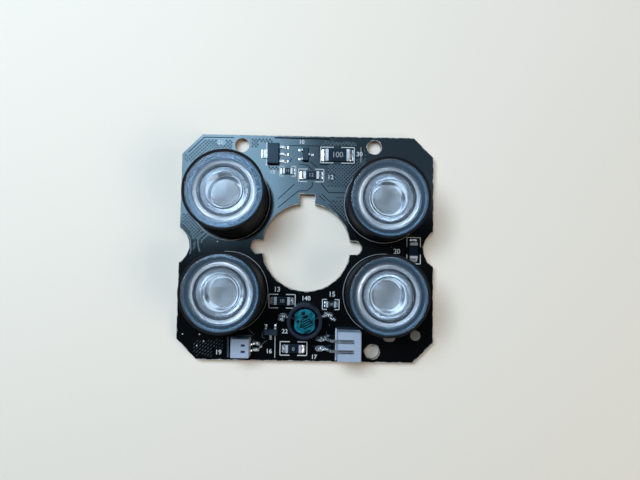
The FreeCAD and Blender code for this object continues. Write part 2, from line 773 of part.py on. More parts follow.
def regulator_joints():
    """Fillets at the ends of the three leads and of the tab."""
    joints = []
    lead_end = REGULATOR_WIDTH / 2 + REGULATOR_LEAD_OUT
    for y in (-REGULATOR_LEAD_PITCH, 0.0, REGULATOR_LEAD_PITCH):
        joint = fillet_solid(LEAD_JOINT, FRAME_THICKNESS * SOLDER_CLIMB, REGULATOR_LEAD_WIDTH)
        joint.translate(Vector(lead_end, y, 0))
        joints.append(placed(joint, REGULATOR_X, TOP_ROW_Y))
    joint = fillet_solid(TAB_JOINT, FRAME_THICKNESS * SOLDER_CLIMB, REGULATOR_TAB_WIDTH)
    joint.translate(Vector(REGULATOR_WIDTH / 2 + REGULATOR_TAB_OUT, 0, 0))
    joints.append(placed(joint, REGULATOR_X, TOP_ROW_Y, 180.0))
    return joints


def transistor_joints():
    """Fillets at the tips of the gull-wing leads."""
    joints = []
    for x, y, turn in transistor_places().values():
        for across, end in ((-TRANSISTOR_PITCH / 2, 180.0), (TRANSISTOR_PITCH / 2, 180.0), (0.0, 0.0)):
            joint = fillet_solid(TRANSISTOR_JOINT, GULL_THICKNESS, GULL_WIDTH)
            joint.translate(Vector(TRANSISTOR_SPAN / 2, 0, 0))
            joint.rotate(Vector(0, 0, 0), Vector(0, 0, 1), end)
            joint.translate(Vector(0, across, 0))
            joints.append(placed(joint, x, y, turn))
    return joints


def mounds(parts):
    """Rounded solder over the feet of the connector pins and the ends of the sensor wires."""
    joints = []
    foot_x = POWER_X - POWER_PIN_KNEE - POWER_PIN_SLOPE - POWER_PIN_FOOT
    length = POWER_PIN_FOOT + MOUND_OVERRUN
    middle = foot_x + POWER_PIN_FOOT - length / 2
    for row in pin_rows(POWER_PITCH):
        joint = placed(mound(length, *POWER_MOUND), middle, LOWER_EDGE + POWER_INSET + row)
        joints.append(joint.cut(parts["power_pins"]))
    foot_x = FILTER_X + FILTER_LENGTH + FILTER_PIN_KNEE + FILTER_PIN_SLOPE + FILTER_PIN_FOOT
    length = FILTER_PIN_FOOT + MOUND_OVERRUN
    middle = foot_x - FILTER_PIN_FOOT + length / 2
    for row in pin_rows(FILTER_PITCH):
        joint = placed(mound(length, *FILTER_MOUND), middle, LOWER_EDGE + FILTER_INSET + row)
        joints.append(joint.cut(parts["filter_pins"]))
    for pad in sensor_pads():
        joint = placed(mound(SENSOR_MOUND_LENGTH, *SENSOR_MOUND), pad.x, pad.y)
        joints.append(joint.cut(parts["sensor_wires"]))
    return joints


def test_pad():
    """A round tinned pad near the lower right corner."""
    x = BOARD_WIDTH / 2 - TEST_PAD_INSET_X
    y = LOWER_EDGE + TEST_PAD_INSET_Y
    return cylinder(TEST_PAD_RADIUS, TEST_PAD_RISE, (x, y), BOARD_TOP)


def build():
    parts = {"circuit_board": circuit_board()}
    parts.update(lens_units())
    parts.update(regulator())
    parts.update(transistors())
    parts.update(resistors())
    parts.update(light_sensor())
    parts.update(power_connector())
    parts.update(filter_connector())
    parts["solder_joints"] = solder_joints(parts)
    parts["test_pad"] = test_pad()
    return parts


for node, shape in build().items():
    shape.exportStep(f"parts/{node}.step")
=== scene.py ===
import math

import bmesh
import bpy
import numpy as np
from bpy.props import FloatProperty, FloatVectorProperty, PointerProperty
from mathutils import Euler, Matrix, Vector


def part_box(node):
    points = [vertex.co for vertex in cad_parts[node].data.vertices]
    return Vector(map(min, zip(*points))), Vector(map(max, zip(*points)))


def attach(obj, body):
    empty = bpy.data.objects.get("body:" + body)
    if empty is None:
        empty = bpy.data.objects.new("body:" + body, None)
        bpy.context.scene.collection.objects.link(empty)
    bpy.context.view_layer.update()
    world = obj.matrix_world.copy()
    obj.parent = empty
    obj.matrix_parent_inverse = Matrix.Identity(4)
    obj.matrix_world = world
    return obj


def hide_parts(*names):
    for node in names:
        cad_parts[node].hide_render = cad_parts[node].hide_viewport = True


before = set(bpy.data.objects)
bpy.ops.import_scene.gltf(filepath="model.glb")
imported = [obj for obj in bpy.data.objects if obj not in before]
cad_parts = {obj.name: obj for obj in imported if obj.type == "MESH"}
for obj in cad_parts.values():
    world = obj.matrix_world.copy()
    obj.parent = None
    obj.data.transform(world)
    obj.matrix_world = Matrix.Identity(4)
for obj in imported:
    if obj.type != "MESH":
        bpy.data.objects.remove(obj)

bl_info = {
    "name": "Infrared illuminator finish",
    "version": (1, 0, 0),
    "blender": (4, 5, 0),
    "location": "3D View > Sidebar > Illuminator",
    "description": "Finishes the lamp board: lenses, holders, printing, copper, solder and small parts",
    "category": "Object",
}

# Lengths are millimetres, +X right, +Y to the regulator's edge; make_mesh turns them into metres.
MM = 0.001
UNITS = ("upper_left", "upper_right", "lower_left", "lower_right")
TIPPED_UNIT = "upper_left"
RESISTORS = ("sense", "bias", "trim", "gate", "cell", "feed", "edge")


def node_box(node):
    """Lowest and highest corner of a solid, in millimetres."""
    low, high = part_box(node)
    return np.array(low) / MM, np.array(high) / MM


def plan_middle(node):
    """Middle of a solid's box in plan."""
    low, high = node_box(node)
    return (low + high)[:2] / 2


def round_box(node):
    """Radius, lowest level and highest level of a round upright solid."""
    low, high = node_box(node)
    return float(high[0] - low[0]) / 2, float(low[2]), float(high[2])


HALF_WIDTH, HALF_HEIGHT, BOARD_TOP = node_box("circuit_board")[1].tolist()
HOLDER_RADIUS, HOLDER_BOTTOM, HOLDER_TOP = round_box("lens_holder_lower_right")
FLANGE_RADIUS, LENS_FOOT, LENS_TOP = round_box("lens_lower_right")
# What is laid on the board starts a little inside it.
LAID_LEVEL = BOARD_TOP - 0.01


def colour_setting(name, description, default):
    """A colour."""
    return FloatVectorProperty(
        name=name, description=description, default=default, subtype="COLOR", size=3, min=0.0, max=1.0
    )


def length_setting(name, description, default):
    """A length in millimetres."""
    return FloatProperty(name=name, description=description + ", in mm", default=default, min=0.0)


def share_setting(name, description, default):
    """A share from none to all."""
    return FloatProperty(
        name=name, description=description, default=default, min=0.0, max=1.0, subtype="FACTOR"
    )


def angle_setting(name, description, default):
    """An angle, its default given in degrees."""
    return FloatProperty(
        name=name, description=description, default=math.radians(default), subtype="ANGLE", unit="ROTATION"
    )


def level_setting(name, description, default):
    """A strength of light."""
    return FloatProperty(name=name, description=description, default=default, min=0.0)


class BoardSettings(bpy.types.PropertyGroup):
    """Board, copper and printing"""

    mask_colour: colour_setting("Lacquer", "Black lacquer on the board", (0.0016, 0.0018, 0.0022))
    copper_colour: colour_setting(
        "Lacquer over copper", "Lacquer where copper lies below it", (0.042, 0.056, 0.066)
    )
    gap_colour: colour_setting("Gaps", "Sunk lacquer between areas of copper", (0.0012, 0.0016, 0.0024))
    sheen_colour: colour_setting("Sheen", "Tint of the reflections in the lacquer", (0.54, 0.8, 0.97))
    laminate_colour: colour_setting("Laminate", "Cut edges of the board", (0.3, 0.2, 0.12))
    worn_colour: colour_setting("Worn edge", "Bare fibre where the lacquer is chipped", (0.5, 0.52, 0.52))
    ink_colour: colour_setting("Ink", "Printed lines and numbers", (0.56, 0.6, 0.62))
    ring_colour: colour_setting("Ring ink", "Thin ink of the rings", (0.3, 0.32, 0.33))
    copper_rise: length_setting("Copper rise", "Height of covered copper over the board", 0.03)
    hatch_pitch: length_setting("Hatch pitch", "Distance between the lines of hatched copper", 0.52)
    hatch_line: length_setting("Hatch line", "Width of a line of hatched copper", 0.13)
    ink_rise: length_setting("Ink rise", "Height of the printing over the board", 0.04)
    ring_radius: length_setting("Ring radius", "Middle of the printed ring round a lens unit", 8.3)
    ring_width: length_setting("Ring width", "Width of the printed ring", 0.12)
    wear_width: length_setting("Wear width", "Usual width of the chipped edge", 0.16)


class LensSettings(bpy.types.PropertyGroup):
    """Lens holders and lenses"""

    holder_colour: colour_setting("Holder", "Moulded black tube", (0.006, 0.0065, 0.008))
    lens_colour: colour_setting("Lens", "Clear moulded lens", (0.8, 0.88, 0.98))
    # Painted reflection: the black tube's ledge is painted blue, standing for the window's blue light seen in
    # the flange.
    ledge_reflection_colour: colour_setting(
        "Ledge", "Ledge of the tube, seen through the flange", (0.028, 0.072, 0.108)
    )
    # Painted light: the black tube's inner wall is painted light grey, standing for the light seen through
    # the lens.
    inside_painted_light_colour: colour_setting(
        "Tube inside", "Inner wall of the tube, seen through the lens", (0.26, 0.28, 0.3)
    )
    sheen_colour: colour_setting("Sheen", "Tint of the reflections in the lens", (0.25, 0.33, 0.43))
    # Painted shade: the groove's bed is tinted a little darker and bluer than the clear lens.
    groove_shade_colour: colour_setting("Groove", "Tone of the groove in the lens face", (0.76, 0.86, 0.96))
    # Painted shade: a dark ring on the groove's steep sides and on the land outside it.
    step_shade_colour: colour_setting("Steps", "Tone of the groove's steep sides", (0.05, 0.06, 0.08))
    lens_haze: share_setting("Haze", "Share of light that the lens scatters", 0.028)
    shadow_pass: share_setting("Light through", "Share of lamp light that passes a clear face", 0.72)
    frost: share_setting("Frost", "Roughness of the pocket and of the sloped ring", 0.42)
    flange_thickness: length_setting("Flange thickness", "Thickness of the lens flange", 1.2)
    collimator_radius: length_setting("Collimator radius", "Radius of the cone below the flange", 6.05)
    foot_wall: length_setting("Foot wall", "Wall round the pocket at the foot", 0.65)
    pocket_radius: length_setting("Pocket radius", "Radius of the pocket's mouth", 2.6)
    pocket_depth: length_setting("Pocket depth", "Depth of the pocket", 2.4)
    pocket_crown: length_setting("Pocket crown", "How far the pocket's end bulges down", 0.7)
    face_recess: length_setting("Face recess", "Depth of the ring in the face", 0.45)
    slope_foot: length_setting("Slope foot", "Radius where the face's slope ends", 5.2)
    centre_radius: length_setting("Centre lens radius", "Radius of the small centre lens", 3.35)
    centre_crown: length_setting("Centre lens crown", "Rise of the small centre lens", 0.4)
    groove_outer: length_setting("Groove outside", "Outer radius of the groove in the face", 4.75)
    groove_inner: length_setting("Groove inside", "Inner radius of the groove in the face", 3.7)
    groove_depth: length_setting("Groove depth", "Depth of the groove in the face", 0.4)
    edge_round: length_setting("Edge round", "Rounding of the moulded edges", 0.08)
    flange_round: length_setting("Flange round", "Rounding of the flange's upper edge", 0.12)
    seat_round: length_setting("Seat round", "Rounding of the flange's lower edge", 0.5)
    tip_angle: angle_setting("Tip", "Lean of the loose unit", 5.4)
    tip_towards: angle_setting("Tip direction", "Side that the loose unit leans to", 70.0)


class PartSettings(bpy.types.PropertyGroup):
    """Small parts, light sensor, connectors and solder"""

    package_colour: colour_setting("Packages", "Black epoxy bodies", (0.012, 0.02, 0.032))
    glaze_colour: colour_setting("Resistor glaze", "Top of the chip resistors", (0.004, 0.007, 0.013))
    tin_colour: colour_setting("Tin", "Leads and caps", (0.42, 0.47, 0.52))
    # Painted light: the white nylon is painted a dim blue-grey, standing for cool window light and shade on
    # it.
    housing_cool_shade_colour: colour_setting("Housings", "Connector housings", (0.29, 0.355, 0.47))
    sleeve_colour: colour_setting("Sleeve", "Sleeve round the light sensor", (0.007, 0.012, 0.024))
    solder_colour: colour_setting("Solder", "Flowed solder at the parts and pads", (0.8, 0.88, 0.95))
    cell_colour: colour_setting("Sensor face", "Lacquered ceramic of the light sensor", (0.003, 0.1, 0.14))
    track_colour: colour_setting("Sensor track", "Dark track on the light sensor", (0.0006, 0.004, 0.006))
    ceramic_colour: colour_setting("Emitter base", "White ceramic under the lenses", (0.82, 0.82, 0.8))
    sleeve_wall: length_setting("Sleeve wall", "Thickness of the sleeve round the light sensor", 0.72)
    track_pitch: length_setting("Track pitch", "Distance between the strokes of the sensor's track", 0.44)
    track_width: length_setting("Track width", "Width of the sensor's track", 0.25)
    solder_rise: length_setting("Solder rise", "Height of the solder at a chip's end", 0.46)
    solder_foot: length_setting("Solder foot", "Height of the solder at the pad's end", 0.07)


class StageSettings(bpy.types.PropertyGroup):
    """Floor, lamps and world"""

    floor_colour: colour_setting("Floor", "Floor and backdrop", (0.74, 0.68, 0.6))
    panel_level: level_setting("Window level", "Brightness of the soft lamp seen directly", 12.5)
    panel_colour: colour_setting("Window", "Colour of the soft lamp", (0.72, 0.87, 1.0))
    room_level: level_setting("Room level", "Brightness of the warm fill", 3.0)
    room_colour: colour_setting("Room", "Colour of the warm fill", (1.0, 0.86, 0.7))
    world_strength: level_setting("World", "Strength of the even light", 0.02)
    world_colour: colour_setting("World colour", "Colour of the even light", (1.0, 0.92, 0.82))


def grid_faces(rows, columns, wrap_rows=False, wrap_columns=False):
    """Quads between neighbours of a grid of points numbered row by row; a wrapped side joins its end to
    its start."""
    row = np.arange(rows if wrap_rows else rows - 1)[:, None]
    column = np.arange(columns if wrap_columns else columns - 1)[None, :]
    row_after = (row + 1) % rows
    column_after = (column + 1) % columns
    corners = np.broadcast_arrays(
        row * columns + column,
        row * columns + column_after,
        row_after * columns + column_after,
        row_after * columns + column,
    )
    return np.stack(corners, axis=-1).reshape(-1, 4)


def make_mesh(name, points, faces):
    """Mesh of points given in millimetres."""
    mesh = bpy.data.meshes.new(name)
    mesh.from_pydata((np.asarray(points) * MM).tolist(), [], [list(face) for face in faces])
    return mesh


def mesh_points(mesh):
    """A mesh's points in millimetres."""
    points = np.empty(len(mesh.vertices) * 3)
    mesh.vertices.foreach_get("co", points)
    return points.reshape(-1, 3) / MM


def close_shell(mesh, closed=True):
    """Merges doubled points at seams and poles, and turns the faces of a closed shell outwards."""
    work = bmesh.new()
    work.from_mesh(mesh)
    bmesh.ops.remove_doubles(work, verts=work.verts, dist=1e-7)
    if closed:
        bmesh.ops.dissolve_degenerate(work, edges=work.edges, dist=1e-8)
        bmesh.ops.recalc_face_normals(work, faces=work.faces)
    work.to_mesh(mesh)
    work.free()


def show_piece(name, mesh, material, replaced=(), sharp=35.0):
    """Puts a mesh in the scene as a piece of the board, smooth but for edges sharper than an angle."""
    piece = bpy.data.objects.new(name, mesh)
    bpy.context.scene.collection.objects.link(piece)
    mesh.materials.append(material)
    mesh.shade_smooth()
    mesh.set_sharp_from_angle(angle=math.radians(sharp))
    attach(piece, "root")
    if replaced:
        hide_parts(*replaced)


def show_closed(name, shapes, material, replaced=(), sharp=35.0):
    """Joins shapes given as points and faces into one piece of closed shells."""
    mesh = make_mesh(name, *joined(shapes))
    close_shell(mesh)
    show_piece(name, mesh, material, replaced, sharp)


def finish_node(node, material):
    """Gives a solid its finish."""
    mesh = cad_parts[node].data
    mesh.materials.clear()
    mesh.materials.append(material)


CORNER_STEPS = 5
CORNER_SHARE = 0.45


def rounded(profile, radii):
    """A profile with its corners eased: each point P between its neighbours A and B becomes the curve
    (1-s)^2 A' + 2s(1-s) P + s^2 B', where A' and B' lie on the two sides at the corner's radius, or at a
    share of a side that is short."""
    profile = np.asarray(profile, float)
    radii = np.asarray(radii, float)[:, None]
    before = np.roll(profile, 1, axis=0) - profile
    after = np.roll(profile, -1, axis=0) - profile
    before_length = np.linalg.norm(before, axis=1, keepdims=True)
    after_length = np.linalg.norm(after, axis=1, keepdims=True)
    start = profile + before / before_length * np.minimum(radii, before_length * CORNER_SHARE)
    end = profile + after / after_length * np.minimum(radii, after_length * CORNER_SHARE)
    s = np.linspace(0, 1, CORNER_STEPS)[None, :, None]
    curve = (1 - s) ** 2 * start[:, None] + 2 * s * (1 - s) * profile[:, None] + s**2 * end[:, None]
    return curve.reshape(-1, 2)


def turned(profile, centre=(0.0, 0.0), steps=128):
    """Surface of revolution: x = r cos a, y = r sin a, z = z, for every profile point (r, z) and angle a.
    The profile closes on itself, along the axis if it starts and ends there."""
    angle = np.arange(steps) * 2 * math.pi / steps
    radius = profile[:, 0][:, None]
    points = np.stack(
        [
            centre[0] + radius * np.cos(angle),
            centre[1] + radius * np.sin(angle),
            np.broadcast_to(profile[:, 1][:, None], (len(profile), steps)),
        ],
        axis=-1,
    )
    on_axis = profile[0, 0] < 1e-9
    return points.reshape(-1, 3), grid_faces(len(profile), steps, wrap_rows=not on_axis, wrap_columns=True)


def bars(starts, ends, width, bottom, top):
    """Straight bars of rectangular section: each has its four plan corners at half the width to the left
    and right of its start and end, on two levels."""
    starts = np.asarray(starts, float)
    ends = np.asarray(ends, float)
    along = ends - starts
    along = along / np.linalg.norm(along, axis=1, keepdims=True)
    across = np.stack([-along[:, 1], along[:, 0]], axis=1) * width / 2
    plan = np.stack([starts - across, ends - across, ends + across, starts + across], axis=1)
    levels = np.array([bottom, top])[None, :, None, None]
    plan = np.broadcast_to(plan[:, None], (len(starts), 2, 4, 2))
    points = np.concatenate([plan, np.broadcast_to(levels, (len(starts), 2, 4, 1))], axis=-1)
    faces = np.array([[3, 2, 1, 0], [4, 5, 6, 7], [0, 1, 5, 4], [1, 2, 6, 5], [2, 3, 7, 6], [3, 0, 4, 7]])
    offsets = (np.arange(len(starts)) * 8)[:, None, None]
    return points.reshape(-1, 3), (faces[None] + offsets).reshape(-1, 4)


def carried(sections, closed=False):
    """Closed sections carried along a path: rows are sections, columns the points round each. An open
    path is capped, and a closed one joins its last section to its first."""
    rows, columns = sections.shape[:2]
    faces = [list(face) for face in grid_faces(rows, columns, wrap_rows=closed, wrap_columns=True)]
    if not closed:
        faces.append(list(range(columns)))
        faces.append(list(range((rows - 1) * columns, rows * columns)))
    return sections.reshape(-1, 3), faces


def mitres(path, closed=False):
    """For each point of a plan path, the offset to its left that keeps both its sides one millimetre
    away: the unit mitre over its dot product with the left normal of a side."""
    if closed:
        before = path - np.roll(path, 1, axis=0)
        after = np.roll(path, -1, axis=0) - path
    else:
        steps = np.diff(path, axis=0)
        before = np.concatenate([steps[:1], steps])
        after = np.concatenate([steps, steps[-1:]])
    before = before / np.linalg.norm(before, axis=1, keepdims=True)
    after = after / np.linalg.norm(after, axis=1, keepdims=True)
    mean = before + after
    mean = mean / np.linalg.norm(mean, axis=1, keepdims=True)
    mitre = np.stack([-mean[:, 1], mean[:, 0]], axis=1)
    side = np.stack([-before[:, 1], before[:, 0]], axis=1)
    return mitre / np.sum(mitre * side, axis=1, keepdims=True)


def stacked_section(*corners):
    """Sections from their corners, each a plan path and a level, or one level for each point."""
    columns = [
        np.concatenate([plan, np.broadcast_to(level, len(plan))[:, None]], axis=1) for plan, level in corners
    ]
    return np.stack(columns, axis=1)


def ribbon(path, width, bottom, top):
    """Flat strip along a plan path, half its width to each side, between two levels."""
    path = np.asarray(path, float)
    half = mitres(path) * width / 2
    return carried(
        stacked_section((path - half, bottom), (path + half, bottom), (path + half, top), (path - half, top))
    )


def arc(centre, radius, start, end, steps=24):
    """Points on a circle between two angles in degrees."""
    angle = np.radians(np.linspace(start, end, steps))
    return np.stack([centre[0] + radius * np.cos(angle), centre[1] + radius * np.sin(angle)], axis=1)


def joined(pieces):
    """Several sets of points and faces as one."""
    points = []
    faces = []
    count = 0
    for piece_points, piece_faces in pieces:
        points.append(np.asarray(piece_points))
        faces.extend([[int(corner) + count for corner in face] for face in piece_faces])
        count += len(piece_points)
    return np.concatenate(points), faces


def turned_plan(points, turn, place):
    """Plan points turned by an angle in degrees and moved to a place."""
    angle = math.radians(turn)
    rotation = np.array([(math.cos(angle), math.sin(angle)), (-math.sin(angle), math.cos(angle))])
    return points @ rotation + place


def add_node(tree, kind, inputs=None, **options):
    """A shader node with its options set; each of its inputs, by name or number, takes a value or
    another node's output."""
    node = tree.nodes.new("ShaderNode" + kind)
    for option, value in options.items():
        setattr(node, option, value)
    for socket, value in (inputs or {}).items():
        if isinstance(value, bpy.types.NodeSocket):
            tree.links.new(value, node.inputs[socket])
        else:
            node.inputs[socket].default_value = value
    return node


def new_group(name, inputs, outputs):
    """A node group that takes a position and numbers and puts out numbers, with the sockets of its
    input node and of its output node."""
    group = bpy.data.node_groups.new(name, "ShaderNodeTree")
    group.interface.new_socket(name="Position", in_out="INPUT", socket_type="NodeSocketVector")
    for socket_name, default in inputs.items():
        socket = group.interface.new_socket(name=socket_name, in_out="INPUT", socket_type="NodeSocketFloat")
        socket.default_value = default
    for socket_name in outputs:
        group.interface.new_socket(name=socket_name, in_out="OUTPUT", socket_type="NodeSocketFloat")
    return group, group.nodes.new("NodeGroupInput").outputs, group.nodes.new("NodeGroupOutput").inputs


def surface_drift():
    """Node group for slow drifts of tone and gloss and a fine grain, from a position."""
    name = "surface_drift"
    if name in bpy.data.node_groups:
        return bpy.data.node_groups[name]
    numbers = {"Drift Scale": 300.0, "Grain Scale": 6000.0, "Roughness Low": 0.3, "Roughness High": 0.4}
    group, given, wanted = new_group(name, numbers, ("Tone", "Roughness", "Height"))
    place = given["Position"]
    drift = add_node(group, "TexNoise", {"Vector": place, "Scale": given["Drift Scale"], "Detail": 4.0})
    grain = add_node(group, "TexNoise", {"Vector": place, "Scale": given["Grain Scale"], "Detail": 3.0})
    slow, fine = drift.outputs["Fac"], grain.outputs["Fac"]
    ends = {"To Min": given["Roughness Low"], "To Max": given["Roughness High"]}
    gloss = add_node(group, "MapRange", {"Value": slow, "From Min": 0.3, "From Max": 0.7, **ends})
    tone = add_node(group, "Math", {0: slow, 1: fine}, operation="MULTIPLY")
    contrast = add_node(group, "MapRange", {"Value": tone.outputs[0], "From Min": 0.12, "From Max": 0.4})
    group.links.new(contrast.outputs["Result"], wanted["Tone"])
    group.links.new(gloss.outputs["Result"], wanted["Roughness"])
    group.links.new(fine, wanted["Height"])
    return group


def settled_dust():
    """Node group for specks of dust: small cells of a Voronoi pattern, few of them, as a mask."""
    name = "settled_dust"
    if name in bpy.data.node_groups:
        return bpy.data.node_groups[name]
    group, given, wanted = new_group(name, {"Scale": 900.0, "Speck Size": 0.12}, ("Mask",))
    pattern = {"Vector": given["Position"], "Scale": given["Scale"], "Randomness": 1.0}
    cells = add_node(group, "TexVoronoi", pattern).outputs
    near = add_node(group, "Math", {0: cells["Distance"], 1: given["Speck Size"]}, operation="LESS_THAN")
    split = add_node(group, "SeparateColor", {"Color": cells["Color"]})
    few = add_node(group, "Math", {0: split.outputs["Red"], 1: 0.82}, operation="GREATER_THAN")
    both = add_node(group, "Math", {0: near.outputs[0], 1: few.outputs[0]}, operation="MULTIPLY")
    group.links.new(both.outputs[0], wanted["Mask"])
    return group


def mixed(tree, factor, first, second):
    """A mix of two colours, each a value or an output."""
    ends = [end if isinstance(end, bpy.types.NodeSocket) else (*end, 1.0) for end in (first, second)]
    mix = add_node(tree, "Mix", {"Factor": factor, "A": ends[0], "B": ends[1]}, data_type="RGBA")
    return mix.outputs["Result"]


def overlay(tree, mask, socket, value):
    """Lays a colour or a number over what feeds a socket, as far as a mask says."""
    below = socket.links[0].from_socket
    if socket.type == "RGBA":
        above = mixed(tree, mask, below, value)
    else:
        above = add_node(tree, "Mix", {"Factor": mask, "A": below, "B": value}).outputs["Result"]
    tree.links.new(above, socket)


def shades(colour, low, high):
    """A colour at two levels of brightness."""
    return [tuple(min(1.0, channel * level) for channel in colour) for level in (low, high)]


# Finishes that have no setting of their own; a sheen is the tint of the reflections.
DUST_COLOUR = (0.3, 0.31, 0.32)
DIE_SHADES = ((0.4, 0.4, 0.42), (0.5, 0.5, 0.52))
RESIN_COLOUR = (0.95, 0.95, 0.92)
EPOXY_SHEEN = (0.5, 0.8, 1.0)
GLAZE_SHEEN = (0.45, 0.75, 1.0)
DULL_TIN = (0.16, 0.16, 0.155)
LACQUER_IOR = 1.55
LENS_IOR = 1.49
RESIN_IOR = 1.41
LACQUER_DEPTH = 0.04
LAMINATE_ROUGHNESS = 0.8


def new_finish(
    name,
    tones,
    roughness,
    drift=300.0,
    grain=6000.0,
    relief=0.002,
    dust=0.0,
    metal=None,
    sheen=None,
    **fixed,
):
    """A finish whose colour drifts between two tones and whose gloss drifts between two roughnesses. Its
    grain has a relief in millimetres. It may have specks of dust of a size, a tarnish between two shares
    of metal, and tinted reflections. Values that are even go on the shader itself."""
    if name in bpy.data.materials:
        return bpy.data.materials[name]
    material = bpy.data.materials.new(name)
    material.use_nodes = True
    tree = material.node_tree
    shader = tree.nodes["Principled BSDF"].inputs
    position = add_node(tree, "TexCoord").outputs["Object"]
    values = {
        "Position": position,
        "Drift Scale": drift,
        "Grain Scale": grain,
        "Roughness Low": roughness[0],
        "Roughness High": roughness[1],
    }
    effect = add_node(tree, "Group", values, node_tree=surface_drift()).outputs
    colour = mixed(tree, effect["Tone"], *tones)
    if dust:
        specks = add_node(tree, "Group", {"Position": position, "Speck Size": dust}, node_tree=settled_dust())
        colour = mixed(tree, specks.outputs["Mask"], colour, DUST_COLOUR)
    tree.links.new(colour, shader["Base Color"])
    tree.links.new(effect["Roughness"], shader["Roughness"])
    if metal:
        shares = {"Value": effect["Tone"], "To Min": metal[0], "To Max": metal[1]}
        tree.links.new(add_node(tree, "MapRange", shares).outputs["Result"], shader["Metallic"])
    bump = add_node(tree, "Bump", {"Height": effect["Height"], "Distance": relief * MM})
    tree.links.new(bump.outputs["Normal"], shader["Normal"])
    if sheen is not None:
        shader["Specular Tint"].default_value = (*sheen, 1.0)
    for socket, value in fixed.items():
        shader[socket.replace("_", " ")].default_value = value
    return material


def board_finish(settings):
    """Black lacquer on both faces; the cut edges, known by their level, show the laminate."""
    material = new_finish(
        "board_lacquer",
        shades(settings.mask_colour, 1.0, 1.8),
        (0.1, 0.13),
        drift=120.0,
        grain=9000.0,
        relief=0.0004,
        dust=0.04,
        sheen=settings.sheen_colour,
        IOR=LACQUER_IOR,
    )
    tree = material.node_tree
    shader = tree.nodes["Principled BSDF"].inputs
    position = add_node(tree, "TexCoord").outputs["Object"]
    level = add_node(tree, "SeparateXYZ", {"Vector": position}).outputs["Z"]
    between = {0: level, 1: BOARD_TOP * MM / 2, 2: (BOARD_TOP / 2 - LACQUER_DEPTH) * MM}
    edge = add_node(tree, "Math", between, operation="COMPARE").outputs[0]
    fibres = add_node(tree, "TexNoise", {"Vector": position, "Scale": 5000.0}).outputs["Fac"]
    laminate = mixed(tree, fibres, *shades(settings.laminate_colour, 0.6, 1.5))
    overlay(tree, edge, shader["Base Color"], laminate)
    overlay(tree, edge, shader["Roughness"], LAMINATE_ROUGHNESS)
    return material


def tin_finish(settings, name="bright_tin", relief=0.004):
    """Tinned metal that is dull in places."""
    return new_finish(
        name,
        shades(settings.tin_colour, 0.75, 1.0),
        (0.3, 0.45),
        drift=900.0,
        grain=3500.0,
        relief=relief,
        metal=(0.0, 0.6),
    )


def clear_finish(name, colour, roughness, ior, settings):
    """Clear moulded plastic that scatters a little; the lamp's light passes through it to what lies below,
    because a shadow ray meets a face that is nearly open. Faces marked as frosted are rough; the groove
    carries painted shade in a slightly darker blue tone, and its steps a painted dark ring."""
    material = new_finish(
        name,
        shades(colour, 0.96, 1.0),
        roughness,
        drift=200.0,
        grain=2500.0,
        relief=0.00004,
        sheen=settings.sheen_colour,
        Transmission_Weight=1.0 - settings.lens_haze,
        IOR=ior,
    )
    tree = material.node_tree
    shader = tree.nodes["Principled BSDF"].inputs
    shadow = add_node(tree, "LightPath").outputs["Is Shadow Ray"]
    cover = add_node(tree, "Math", {0: shadow, 1: -settings.shadow_pass, 2: 1.0}, operation="MULTIPLY_ADD")
    tree.links.new(cover.outputs[0], shader["Alpha"])
    # Painted shade: the groove's bed takes a slightly darker blue tone.
    overlay(tree, zone_mask(tree, "groove"), shader["Base Color"], settings.groove_shade_colour)
    # Painted shade: the groove's steep sides and the land outside it take a dark ring.
    overlay(tree, zone_mask(tree, "step"), shader["Base Color"], settings.step_shade_colour)
    overlay(tree, zone_mask(tree, "frosted"), shader["Roughness"], settings.frost)
    return material


def unit_centre(unit):
    """Middle of a lens unit in plan, where its emitter stands."""
    return plan_middle("emitter_base_" + unit)


def mark_zone(mesh, name, centre, bands):
    """Marks points with a value of 1: those of each band between two radii about a centre and between
    two levels."""
    points = mesh_points(mesh)
    radius = np.hypot(points[:, 0] - centre[0], points[:, 1] - centre[1])
    level = points[:, 2]
    inside = np.zeros(len(points), bool)
    for low_radius, high_radius, low, high in bands:
        inside |= (radius > low_radius) & (radius < high_radius) & (level > low) & (level < high)
    mesh.attributes.new(name, "FLOAT", "POINT").data.foreach_set("value", inside.astype(np.float32))


def zone_mask(tree, name):
    """The value that mark_zone left on the mesh."""
    return add_node(tree, "Attribute", attribute_name=name).outputs["Fac"]


def tipped(mesh, settings):
    """Turns the loose unit about the point of its base edge that it leans to."""
    lean = Vector((math.cos(settings.tip_towards), math.sin(settings.tip_towards), 0.0))
    pivot = (Vector((*unit_centre(TIPPED_UNIT), BOARD_TOP)) + lean * HOLDER_RADIUS) * MM
    turn = Matrix.Rotation(settings.tip_angle, 4, Vector((-lean.y, lean.x, 0.0)))
    mesh.transform(Matrix.Translation(pivot) @ turn @ Matrix.Translation(-pivot))


def show_units(name, profile, zones, material, node, settings, sharp=35.0):
    """Turns a profile round the middle of each lens unit, with its zones marked; the loose unit leans."""
    for unit in UNITS:
        centre = unit_centre(unit)
        mesh = make_mesh(name + unit, *turned(profile, centre))
        close_shell(mesh)
        for zone, bands in zones.items():
            mark_zone(mesh, zone, centre, bands)
        if unit == TIPPED_UNIT:
            tipped(mesh, settings)
        show_piece(name + unit, mesh, material, [node + unit], sharp)


def parabola(radius, edge_level, centre_level, steps=24):
    """Crowned face from the axis outwards: z = centre + (edge - centre) (r / R)^2."""
    r = np.linspace(0, radius, steps)
    return np.stack([r, centre_level + (edge_level - centre_level) * (r / radius) ** 2], axis=1)


# Lens: how much the pocket and the groove narrow, how far the cone bows out, the flat land round the
# slope. Holder: the window in its floor, its walls and its ledge.
POCKET_TAPER = 0.2
CONE_BOW = (1.1, -0.55)
FACE_LAND = 0.15
GROOVE_TAPER = 0.12
HOLDER_WINDOW = 4.1
HOLDER_FLOOR = 0.9
HOLDER_WALL = 0.85
RIM_WALL = 0.45
LEDGE_HEIGHT = 1.0
LEDGE_GAP = 0.2


